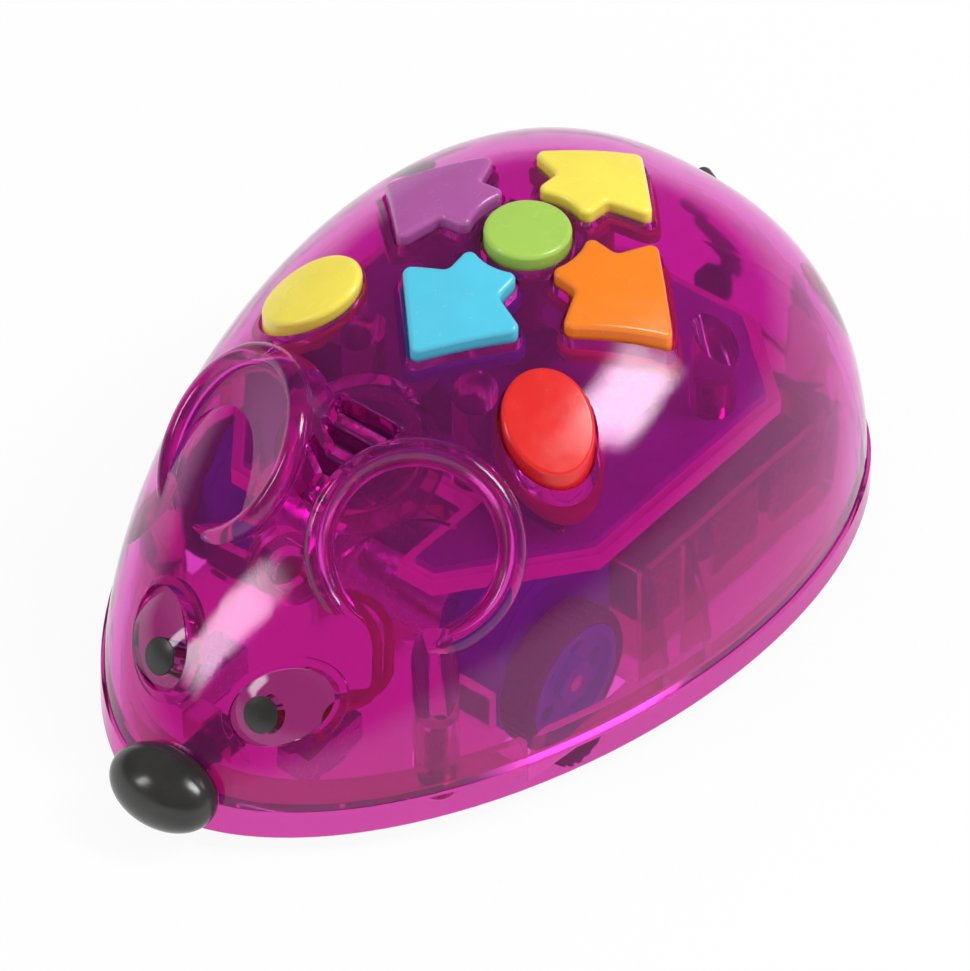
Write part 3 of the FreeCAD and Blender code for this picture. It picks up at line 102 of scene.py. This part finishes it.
# %% [markdown]
# ## Node helpers
# Every finish below is a small node tree. It could be clicked together by hand, but a script can be read
# and run again. A few helpers keep each recipe short: one adds a node and fills its sockets, one joins two
# sockets, and one does a sum on values or sockets.

# %% Node helpers
def node(tree, kind, **inputs):
    """Add a node and set inputs by name, with underscores for spaces."""
    made = tree.nodes.new(kind)
    for name, value in inputs.items():
        made.inputs[name.replace("_", " ")].default_value = value
    return made


def join(tree, start, start_name, end, end_name):
    """Link one node's output to another node's input, both by name."""
    tree.links.new(start.outputs[start_name], end.inputs[end_name])


def math_node(tree, operation, first, second=None):
    """Do a sum on numbers or sockets and return the socket of the result."""
    made = tree.nodes.new("ShaderNodeMath")
    made.operation = operation
    for index, value in enumerate((first, second)):
        if value is None:
            continue
        if isinstance(value, (int, float)):
            made.inputs[index].default_value = value
        else:
            tree.links.new(value, made.inputs[index])
    return made.outputs[0]


# %% [markdown]
# ## Surface helpers
# No moulded surface is quite even: its tone, its gloss and its height all drift a little. Each helper adds
# one of these to a shader. They all read the same kind of noise, in the piece's own coordinates, so the
# pattern stays on the piece when it moves.

# %% Surface helpers
NOISE_DETAIL = 3.0
NOISE_LOW = 0.3
NOISE_HIGH = 0.7


def noise_on_piece(tree, scale):
    """Noise that is fixed to the piece, with its scale in patches per metre."""
    place = tree.nodes.new("ShaderNodeTexCoord")
    noise = node(tree, "ShaderNodeTexNoise", Scale=scale, Detail=NOISE_DETAIL)
    join(tree, place, "Object", noise, "Vector")
    return noise


def drift(tree, scale, low, high):
    """Noise whose middle range is spread between two values."""
    reach = node(tree, "ShaderNodeMapRange", From_Min=NOISE_LOW, From_Max=NOISE_HIGH, To_Min=low, To_Max=high)
    join(tree, noise_on_piece(tree, scale), "Fac", reach, "Value")
    return reach


def new_finish(name):
    """Empty material with one shader; returns the material, its tree and the shader."""
    finish = bpy.data.materials.new(name)
    finish.use_nodes = True
    tree = finish.node_tree
    return finish, tree, tree.nodes["Principled BSDF"]


def vary_colour(tree, shader, colour, share, scale):
    """Drift the base colour between a darker and a lighter tone of one colour."""
    mix = tree.nodes.new("ShaderNodeMix")
    mix.data_type = "RGBA"
    mix.inputs["A"].default_value = (*[c * (1 - share) for c in colour], 1)
    mix.inputs["B"].default_value = (*[min(1.0, c * (1 + share)) for c in colour], 1)
    join(tree, drift(tree, scale, 0, 1), "Result", mix, "Factor")
    join(tree, mix, "Result", shader, "Base Color")


def vary_gloss(tree, shader, low, high, scale):
    """Drift the roughness between two values, as handling and moulding do."""
    join(tree, drift(tree, scale, low, high), "Result", shader, "Roughness")


def ripple(tree, shader, scale, height, strength):
    """Fine unevenness of the surface."""
    bump = node(tree, "ShaderNodeBump", Strength=strength, Distance=height)
    join(tree, noise_on_piece(tree, scale), "Fac", bump, "Height")
    join(tree, bump, "Normal", shader, "Normal")


# %% [markdown]
# ## Clear plastics
# The shell is tinted clear plastic. A shader with nearly full transmission bends what lies behind it and
# tints light once for each wall, so the deep colour in the middle and the bright edges come by themselves.
# Painting it as an opaque pink would lose everything inside. A slow drift of gloss and a faint ripple
# stand for the mould's flow lines. The board's tray has a painted glow: a faint emission all over it stands
# in for the light its rim pipes.

# %% Clear plastics
# Each row: colour, drift of tone, refractive index, clarity
CLEAR_PLASTICS = {
    "clear_magenta": ((0.80, 0.055, 0.58), 0.04, 1.47, 0.92),
    # Painted light: this row is a lighter copy of the shell's tint, for the base and its door seen edge on,
    # where the shell's tint would go nearly black.
    "edge_magenta_painted_light": ((0.74, 0.08, 0.45), 0.04, 1.2, 0.9),
    # The tray's row is a lighter tint, and the tray also gets a painted glow below that stands in for light
    # on its rim.
    "tray_magenta_painted_glow": ((0.95, 0.30, 0.80), 0.04, 1.3, 0.55),
    "lens_clear": ((0.50, 0.36, 0.43), 0.02, 1.47, 1.0),
    "lamp_clear": ((0.93, 0.92, 0.93), 0.02, 1.47, 1.0),
}
CLEAR_TONE_SCALE = 60
CLEAR_GLOSS = (0.03, 0.07)
CLEAR_GLOSS_SCALE = 150
FLOW_SCALE = 90
FLOW_HEIGHT = 0.06 * MM
FLOW_STRENGTH = 0.25
# Painted glow for the tray: a faint magenta emission all over it, though it is no lamp.
PAINTED_TRAY_GLOW = 0.12
PAINTED_TRAY_GLOW_COLOUR = (1.0, 0.12, 0.62, 1)


def clear_plastic(name, colour, share, index, clarity):
    """Tinted plastic that light goes through."""
    finish, tree, shader = new_finish(name)
    shader.inputs["Transmission Weight"].default_value = clarity
    shader.inputs["IOR"].default_value = index
    vary_colour(tree, shader, colour, share, CLEAR_TONE_SCALE)
    vary_gloss(tree, shader, *CLEAR_GLOSS, CLEAR_GLOSS_SCALE)
    ripple(tree, shader, FLOW_SCALE, FLOW_HEIGHT, FLOW_STRENGTH)
    return finish


finishes = {name: clear_plastic(name, *row) for name, row in CLEAR_PLASTICS.items()}
# Paint the tray's glow: its shader emits a faint magenta light of its own.
painted_glow_shader = finishes["tray_magenta_painted_glow"].node_tree.nodes["Principled BSDF"]
painted_glow_shader.inputs["Emission Color"].default_value = PAINTED_TRAY_GLOW_COLOUR
painted_glow_shader.inputs["Emission Strength"].default_value = PAINTED_TRAY_GLOW
print("clear finishes:", len(finishes))


# %% [markdown]
# ## Solid plastics
# The keys are solid coloured plastic with a satin mould texture: a soft highlight, a fine grain that
# breaks it up, and a slight drift of tone. One recipe makes all of them, and only the colour differs. The
# same recipe with more or less gloss and grain also gives the rubber, the paper cone and the board.

# %% Solid plastics
KEY_COLOURS = {
    "button_green": (0.37, 0.60, 0.10),
    "button_blue": (0.09, 0.57, 0.78),
    "button_yellow": (0.93, 0.77, 0.10),
    "button_orange": (0.86, 0.21, 0.014),
    "button_purple": (0.43, 0.10, 0.36),
    "button_red": (0.74, 0.022, 0.020),
}
KEY_ROUGHNESS = 0.22
KEY_GRAIN = 0.2
KEY_DRIFT = 0.04
# Each row: colour, roughness, strength of the grain, drift of tone
SOLID_PLASTICS = {
    "white_plastic": ((0.85, 0.85, 0.83), 0.40, 0.25, 0.04),
    "gearbox_blue": ((0.12, 0.42, 0.98), 0.35, 0.25, 0.04),
    "black_gloss": ((0.030, 0.029, 0.028), 0.2, 0.12, 0.2),
    "red_wire": ((0.95, 0.05, 0.05), 0.35, 0.2, 0.04),
    "dark_rubber": ((0.070, 0.045, 0.065), 0.62, 0.5, 0.15),
    "paper_black": ((0.060, 0.050, 0.060), 0.85, 0.8, 0.2),
    "cell_jacket": ((0.10, 0.10, 0.11), 0.28, 0.15, 0.04),
    "board_pale": ((0.58, 0.60, 0.92), 0.32, 0.3, 0.08),
}
SOLID_INDEX = 1.5
SOLID_TONE_SCALE = 220
SMOOTHER_BY = 0.05
ROUGHER_BY = 0.07
SOLID_GLOSS_SCALE = 500
GRAIN_SCALE = 2600
GRAIN_HEIGHT = 0.03 * MM


def solid_plastic(name, colour, roughness, grain, share):
    """Coloured plastic or rubber with a moulded grain."""
    finish, tree, shader = new_finish(name)
    shader.inputs["IOR"].default_value = SOLID_INDEX
    vary_colour(tree, shader, colour, share, SOLID_TONE_SCALE)
    vary_gloss(tree, shader, roughness - SMOOTHER_BY, roughness + ROUGHER_BY, SOLID_GLOSS_SCALE)
    ripple(tree, shader, GRAIN_SCALE, GRAIN_HEIGHT, grain)
    return finish


for name, colour in KEY_COLOURS.items():
    finishes[name] = solid_plastic(name, colour, KEY_ROUGHNESS, KEY_GRAIN, KEY_DRIFT)
for name, row in SOLID_PLASTICS.items():
    finishes[name] = solid_plastic(name, *row)
print("clear and solid finishes:", len(finishes))


# %% [markdown]
# ## Metals
# Screws, motor cans and contacts are plated steel, and the pinions are brass. Metal has no body colour
# of its own, so the tone sits in the reflection, and a fine noise breaks the reflection up as a drawn or
# plated surface does. A plain grey paint would look like plastic.

# %% Metals
# Each row: colour, roughness
METALS = {
    "steel": ((0.62, 0.62, 0.64), 0.28),
    "brass": ((0.72, 0.55, 0.25), 0.25),
}
METAL_DRIFT = 0.06
METAL_TONE_SCALE = 300
METAL_SMOOTHER_BY = 0.06
METAL_ROUGHER_BY = 0.08
METAL_GLOSS_SCALE = 900
METAL_GRAIN_SCALE = 1800
METAL_GRAIN_HEIGHT = 0.02 * MM
METAL_GRAIN = 0.2


def drawn_metal(name, colour, roughness):
    """Bare metal with a fine grain."""
    finish, tree, shader = new_finish(name)
    shader.inputs["Metallic"].default_value = 1.0
    vary_colour(tree, shader, colour, METAL_DRIFT, METAL_TONE_SCALE)
    vary_gloss(tree, shader, roughness - METAL_SMOOTHER_BY, roughness + METAL_ROUGHER_BY, METAL_GLOSS_SCALE)
    ripple(tree, shader, METAL_GRAIN_SCALE, METAL_GRAIN_HEIGHT, METAL_GRAIN)
    return finish


for name, row in METALS.items():
    finishes[name] = drawn_metal(name, *row)
print("all finishes:", sorted(finishes))


# %% [markdown]
# ## Dress the frame
# The record says which finish each piece of the toy takes, so one loop dresses all of them. Three clear
# mouldings get a lighter copy of the shell's tint, which is painted light: the base and its door are seen
# edge on, where the shell's tint would go nearly black, so the lighter tint paints light back in; the board's
# tray is the one with the painted glow.

# %% Dress the frame
# These three mouldings take lighter copies of the shell's tint, which is painted light, and the tray's copy
# also carries the painted glow.
PAINTED_LIGHT_MOULDINGS = {"base_tray": "edge_magenta_painted_light", "battery_door": "edge_magenta_painted_light", "pcb_tray": "tray_magenta_painted_glow"}
slot_of = {row["node"]: row["material_slot"] for row in frame["record"]["subparts"]}
for name, piece in nodes.items():
    chosen = PAINTED_LIGHT_MOULDINGS.get(name, slot_of[name])
    piece.data.materials.clear()
    piece.data.materials.append(finishes[chosen])
print("dressed nodes:", len(slot_of))


# %% [markdown]
# ## Floor
# The photograph is a plain white studio shot. A floor lit to pure white would need so much light that the
# toy would bleach. Here the floor glows white only for rays that look at it, straight, mirrored or through
# the plastic, and stays a plain matt floor for the rays that carry light.

# %% Floor
FLOOR_REACH = 6.0
FLOOR_WHITE = 0.85
FLOOR_ROUGHNESS = 0.9
FLOOR_SEEN = 0.93


def seen_white(tree):
    """One for camera, mirror and see-through rays, zero for the rays that light things."""
    path = tree.nodes.new("ShaderNodeLightPath")
    direct_or_mirrored = math_node(
        tree, "MAXIMUM", path.outputs["Is Camera Ray"], path.outputs["Is Glossy Ray"]
    )
    return math_node(tree, "MAXIMUM", direct_or_mirrored, path.outputs["Is Transmission Ray"])


floor_finish, tree, matt = new_finish("studio_floor")
matt.inputs["Base Color"].default_value = (FLOOR_WHITE, FLOOR_WHITE, FLOOR_WHITE, 1)
matt.inputs["Roughness"].default_value = FLOOR_ROUGHNESS
white = node(tree, "ShaderNodeEmission", Strength=1.0)
blend = tree.nodes.new("ShaderNodeMixShader")
tree.links.new(math_node(tree, "MULTIPLY", seen_white(tree), FLOOR_SEEN), blend.inputs["Fac"])
tree.links.new(matt.outputs["BSDF"], blend.inputs[1])
tree.links.new(white.outputs["Emission"], blend.inputs[2])
join(tree, blend, "Shader", tree.nodes["Material Output"], "Surface")

floor_mesh = bpy.data.meshes.new("studio_floor")
corners = [(-1, -1), (1, -1), (1, 1), (-1, 1)]
floor_mesh.from_pydata([(x * FLOOR_REACH, y * FLOOR_REACH, 0) for x, y in corners], [], [(0, 1, 2, 3)])
floor_mesh.materials.append(floor_finish)
floor = bpy.data.objects.new("studio_floor", floor_mesh)
bpy.context.scene.collection.objects.link(floor)
print("floor reaches", FLOOR_REACH, "m each way")


# %% [markdown]
# ## Backdrop
# A world that is white all over would wash the dome with one flat reflection. This one is white at the
# horizon and duller overhead, and for mirrored rays it darkens much sooner, so the plastic keeps its depth
# and the lamps' reflections stand out.

# %% Backdrop
SKY_EDGE = 1.0
# Each row: the sky's level overhead, and the heights where its fade starts and ends
SKY_LIT = (0.45, 0.10, 0.55)
SKY_MIRRORED = (0.1, 0.0, 0.22)

world = bpy.data.worlds.new("studio")
world.use_nodes = True
bpy.context.scene.world = world
tree = world.node_tree
sky = tree.nodes["Background"]
sky.inputs["Color"].default_value = (1, 1, 1, 1)
way = tree.nodes.new("ShaderNodeTexCoord")
split = tree.nodes.new("ShaderNodeSeparateXYZ")
join(tree, way, "Generated", split, "Vector")
path = tree.nodes.new("ShaderNodeLightPath")
level = tree.nodes.new("ShaderNodeMix")
join(tree, path, "Is Glossy Ray", level, "Factor")
for socket, (top, low, high) in (("A", SKY_LIT), ("B", SKY_MIRRORED)):
    fade = node(tree, "ShaderNodeMapRange", From_Min=low, From_Max=high, To_Min=SKY_EDGE, To_Max=top)
    join(tree, split, "Z", fade, "Value")
    join(tree, fade, "Result", level, socket)
join(tree, level, "Result", sky, "Strength")
print("sky overhead:", SKY_LIT[0], "and in reflections:", SKY_MIRRORED[0])


# %% [markdown]
# ## Soft boxes
# Two soft boxes stand where the photograph shows their reflections: one high behind the mouse's left
# flank, which is the picture's right, and one tall and narrow in front of the forehead. A bare rectangle
# would leave hard edges in the plastic, so each lamp fades towards its edges as a diffuser cloth does.
# Light has to pass many walls in here, so it may bounce often.

# %% Soft boxes
LAMP_MIDDLE = 0.5
LAMP_BORDER = 0.3
LAMP_DISTANCE = 0.8
LIGHT_BOUNCES = 24


def fade_edges(lamp):
    """Let a lamp's glow fall off towards its four edges, whose places run from 0 to 1."""
    lamp.use_nodes = True
    tree = lamp.node_tree
    spot = tree.nodes.new("ShaderNodeNewGeometry")
    split = tree.nodes.new("ShaderNodeSeparateXYZ")
    join(tree, spot, "Parametric", split, "Vector")
    shares = []
    for axis in ("X", "Y"):
        off = math_node(tree, "ABSOLUTE", math_node(tree, "SUBTRACT", split.outputs[axis], LAMP_MIDDLE))
        edge = node(tree, "ShaderNodeMapRange", From_Min=LAMP_MIDDLE, From_Max=LAMP_MIDDLE - LAMP_BORDER)
        edge.interpolation_type = "SMOOTHSTEP"
        tree.links.new(off, edge.inputs["Value"])
        shares.append(edge.outputs["Result"])
    tree.links.new(math_node(tree, "MULTIPLY", *shares), tree.nodes["Emission"].inputs["Strength"])


def soft_box(name, azimuth, elevation, width, tall, power):
    """Rectangular lamp that faces the object, with angles in degrees, sizes in metres and power in watts."""
    lamp = bpy.data.lights.new(name, "AREA")
    lamp.shape = "RECTANGLE"
    lamp.size = width
    lamp.size_y = tall
    lamp.energy = power
    fade_edges(lamp)
    away = direction(math.radians(azimuth), math.radians(elevation))
    aim(bpy.data.objects.new(name, lamp), away, LAMP_DISTANCE)


soft_box("flank_box", azimuth=120, elevation=52, width=0.36, tall=0.46, power=9.0)
soft_box("forehead_box", azimuth=-36, elevation=33, width=0.18, tall=0.44, power=2.6)
scene = bpy.context.scene
scene.view_settings.view_transform = "Standard"
scene.cycles.max_bounces = LIGHT_BOUNCES
scene.cycles.glossy_bounces = LIGHT_BOUNCES
scene.cycles.transmission_bounces = LIGHT_BOUNCES


# %% [markdown]
# ## Trees for what repeats
# Geometry Nodes make the parts that repeat by a rule. Every tree here starts with named inputs for its
# sizes, and ends by turning its copies into real faces with a finish on them. The result is then kept as
# a plain mesh, because a live modifier would have to be worked out again at every pose.

# %% Tree helpers
def new_tree(name, inputs):
    """Node tree with named inputs, each given as a kind and a value; returns the tree and its inputs."""
    tree = bpy.data.node_groups.new(name, "GeometryNodeTree")
    tree.interface.new_socket("Geometry", in_out="OUTPUT", socket_type="NodeSocketGeometry")
    for label, (kind, value) in inputs.items():
        socket = tree.interface.new_socket(label, in_out="INPUT", socket_type="NodeSocket" + kind)
        if value is not None:
            socket.default_value = value
    return tree, tree.nodes.new("NodeGroupInput").outputs


def close_tree(tree, shape, finish):
    """Make the copies real, give them a finish and hand them out."""
    real = tree.nodes.new("GeometryNodeRealizeInstances")
    tree.links.new(shape, real.inputs["Geometry"])
    paint = tree.nodes.new("GeometryNodeSetMaterial")
    join(tree, real, "Geometry", paint, "Geometry")
    tree.links.new(finish, paint.inputs["Material"])
    join(tree, paint, "Geometry", tree.nodes.new("NodeGroupOutput"), "Geometry")


def grown(name, tree, values, base=None):
    """Run a node tree on an object and keep the result as a plain mesh."""
    piece = bpy.data.objects.new(name, base or bpy.data.meshes.new(name))
    bpy.context.scene.collection.objects.link(piece)
    modifier = piece.modifiers.new("rule", "NODES")
    modifier.node_group = tree
    for socket in tree.interface.items_tree:
        if socket.in_out == "INPUT" and socket.name in values:
            modifier[socket.identifier] = values[socket.name]
    ready = piece.evaluated_get(bpy.context.evaluated_depsgraph_get())
    made = bpy.data.meshes.new_from_object(ready)
    piece.modifiers.clear()
    piece.data = made
    made.name = name
    return piece


# %% [markdown]
# ## Ribbed tyres
# The drive tyres are rubber bands with fine cross ribs for grip. The ribs could be modelled one by one or
# faked with bump, but bump leaves the outline smooth. Here a tree sweeps a rounded section round a circle
# for the band and sets one rib round it by rule, so the count and height are inputs and not hand work.

# %% Tyre band and ribs
RING_STEPS = 96
EDGE_ROUND = 0.4 * MM
EDGE_ROUND_STEPS = 3
RIB_LENGTH = 0.6 * MM
RIB_SHORT_OF_WIDTH = 1.0 * MM


def tyre_band(tree, size, crown):
    """Rounded rubber section swept round the wheel, as high as the crown between the ribs."""
    thick = math_node(tree, "SUBTRACT", crown, size["Inner Radius"])
    middle = math_node(tree, "SUBTRACT", crown, math_node(tree, "MULTIPLY", thick, 0.5))
    ring = node(tree, "GeometryNodeCurvePrimitiveCircle", Resolution=RING_STEPS)
    tree.links.new(middle, ring.inputs["Radius"])
    section = tree.nodes.new("GeometryNodeCurvePrimitiveQuadrilateral")
    tree.links.new(thick, section.inputs["Width"])
    tree.links.new(size["Width"], section.inputs["Height"])
    soft = tree.nodes.new("GeometryNodeFilletCurve")
    soft.mode = "POLY"
    soft.inputs["Count"].default_value = EDGE_ROUND_STEPS
    soft.inputs["Radius"].default_value = EDGE_ROUND
    join(tree, section, "Curve", soft, "Curve")
    band = tree.nodes.new("GeometryNodeCurveToMesh")
    join(tree, ring, "Curve", band, "Curve")
    join(tree, soft, "Curve", band, "Profile Curve")
    return band


def tyre_ribs(tree, size, crown):
    """Blocks spread evenly round the crown, each turned to its place and sunk in by half."""
    points = tree.nodes.new("GeometryNodePoints")
    tree.links.new(size["Rib Count"], points.inputs["Count"])
    index = tree.nodes.new("GeometryNodeInputIndex")
    turn = math_node(tree, "DIVIDE", index.outputs["Index"], size["Rib Count"])
    angle = math_node(tree, "MULTIPLY", turn, 2 * math.pi)
    place = tree.nodes.new("ShaderNodeCombineXYZ")
    for axis, wave in (("X", "COSINE"), ("Y", "SINE")):
        tree.links.new(math_node(tree, "MULTIPLY", math_node(tree, wave, angle), crown), place.inputs[axis])
    join(tree, place, "Vector", points, "Position")
    block = node(tree, "ShaderNodeCombineXYZ", Y=RIB_LENGTH)
    tree.links.new(math_node(tree, "MULTIPLY", size["Rib Height"], 2.0), block.inputs["X"])
    tree.links.new(math_node(tree, "SUBTRACT", size["Width"], RIB_SHORT_OF_WIDTH), block.inputs["Z"])
    rib = tree.nodes.new("GeometryNodeMeshCube")
    join(tree, block, "Vector", rib, "Size")
    around = tree.nodes.new("ShaderNodeCombineXYZ")
    tree.links.new(angle, around.inputs["Z"])
    ribs = tree.nodes.new("GeometryNodeInstanceOnPoints")
    join(tree, points, "Points", ribs, "Points")
    join(tree, rib, "Mesh", ribs, "Instance")
    join(tree, around, "Vector", ribs, "Rotation")
    return ribs


# %% Ribbed tyre tree
TYRE_INPUTS = {
    "Outer Radius": ("Float", 8.5 * MM),
    "Inner Radius": ("Float", 7.0 * MM),
    "Width": ("Float", 4.0 * MM),
    "Rib Count": ("Int", 40),
    "Rib Height": ("Float", 0.2 * MM),
    "Centre": ("Vector", None),
    "Rubber": ("Material", None),
}


def ribbed_tyre_tree():
    """Band of rubber about X with ribs across its tread."""
    tree, size = new_tree("ribbed_tyre", TYRE_INPUTS)
    crown = math_node(tree, "SUBTRACT", size["Outer Radius"], size["Rib Height"])
    both = tree.nodes.new("GeometryNodeJoinGeometry")
    join(tree, tyre_band(tree, size, crown), "Mesh", both, "Geometry")
    join(tree, tyre_ribs(tree, size, crown), "Instances", both, "Geometry")
    lay = node(tree, "GeometryNodeTransform", Rotation=(0, math.pi / 2, 0))
    tree.links.new(size["Centre"], lay.inputs["Translation"])
    join(tree, both, "Geometry", lay, "Geometry")
    close_tree(tree, lay.outputs["Geometry"], size["Rubber"])
    return tree


# %% Tyres
tyre_tree = ribbed_tyre_tree()
for side in ("left", "right"):
    low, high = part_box("tyre_" + side)
    values = {
        "Outer Radius": (high.z - low.z) / 2,
        "Width": high.x - low.x,
        "Centre": tuple((low + high) / 2),
        "Rubber": finishes["dark_rubber"],
    }
    tyre = grown("ribbed_tyre_" + side, tyre_tree, values)
    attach(tyre, "wheel_" + side)
    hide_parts("tyre_" + side)
    print("tyre", side, len(tyre.data.polygons), "faces")


# %% [markdown]
# ## Solder joints
# Each key presses a small switch on the board, and each switch is soldered by four legs. The legs
# repeat seven times four, so a tree lays a two by two pattern of flat domes at each switch. Copies made by
# hand would have to be moved again whenever a switch moves.

# %% Solder joint tree
SOLDER_INPUTS = {
    "Leg Span": ("Float", 7.0 * MM),
    "Leg Pitch": ("Float", 4.5 * MM),
    "Joint Radius": ("Float", 0.6 * MM),
    "Solder": ("Material", None),
}
LEGS_EACH_WAY = 2
DOME_SEGMENTS = 12
DOME_RINGS = 8
DOME_FLATTENING = 0.5


def solder_tree():
    """Four flat domes of solder at each point of the mesh that the tree runs on."""
    seats_input = {"Geometry": ("Geometry", None)}
    tree, size = new_tree("solder_joints", {**seats_input, **SOLDER_INPUTS})
    grid = node(tree, "GeometryNodeMeshGrid", Vertices_X=LEGS_EACH_WAY, Vertices_Y=LEGS_EACH_WAY)
    tree.links.new(size["Leg Span"], grid.inputs["Size X"])
    tree.links.new(size["Leg Pitch"], grid.inputs["Size Y"])
    dome = node(tree, "GeometryNodeMeshUVSphere", Segments=DOME_SEGMENTS, Rings=DOME_RINGS)
    tree.links.new(size["Joint Radius"], dome.inputs["Radius"])
    legs = node(tree, "GeometryNodeInstanceOnPoints", Scale=(1, 1, DOME_FLATTENING))
    join(tree, grid, "Mesh", legs, "Points")
    join(tree, dome, "Mesh", legs, "Instance")
    all_legs = tree.nodes.new("GeometryNodeInstanceOnPoints")
    tree.links.new(size["Geometry"], all_legs.inputs["Points"])
    join(tree, legs, "Instances", all_legs, "Instance")
    close_tree(tree, all_legs.outputs["Instances"], size["Solder"])
    return tree


# %% Solder joints
# Places of the seven switches on the board, in millimetres
SWITCH_PLACES = [(0, 11.9), (0, -0.6), (0, 24.4), (12.5, 11.9), (-12.5, 11.9), (16.3, -5.0), (-16.3, -5.0)]

board_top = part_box("main_board")[1].z
seats = bpy.data.meshes.new("switch_seats")
seats.from_pydata([(x * MM, y * MM, board_top) for x, y in SWITCH_PLACES], [], [])
solder = grown("solder_joints", solder_tree(), {"Solder": finishes["steel"]}, seats)
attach(solder, "body")
print("solder joints:", len(solder.data.polygons), "faces")
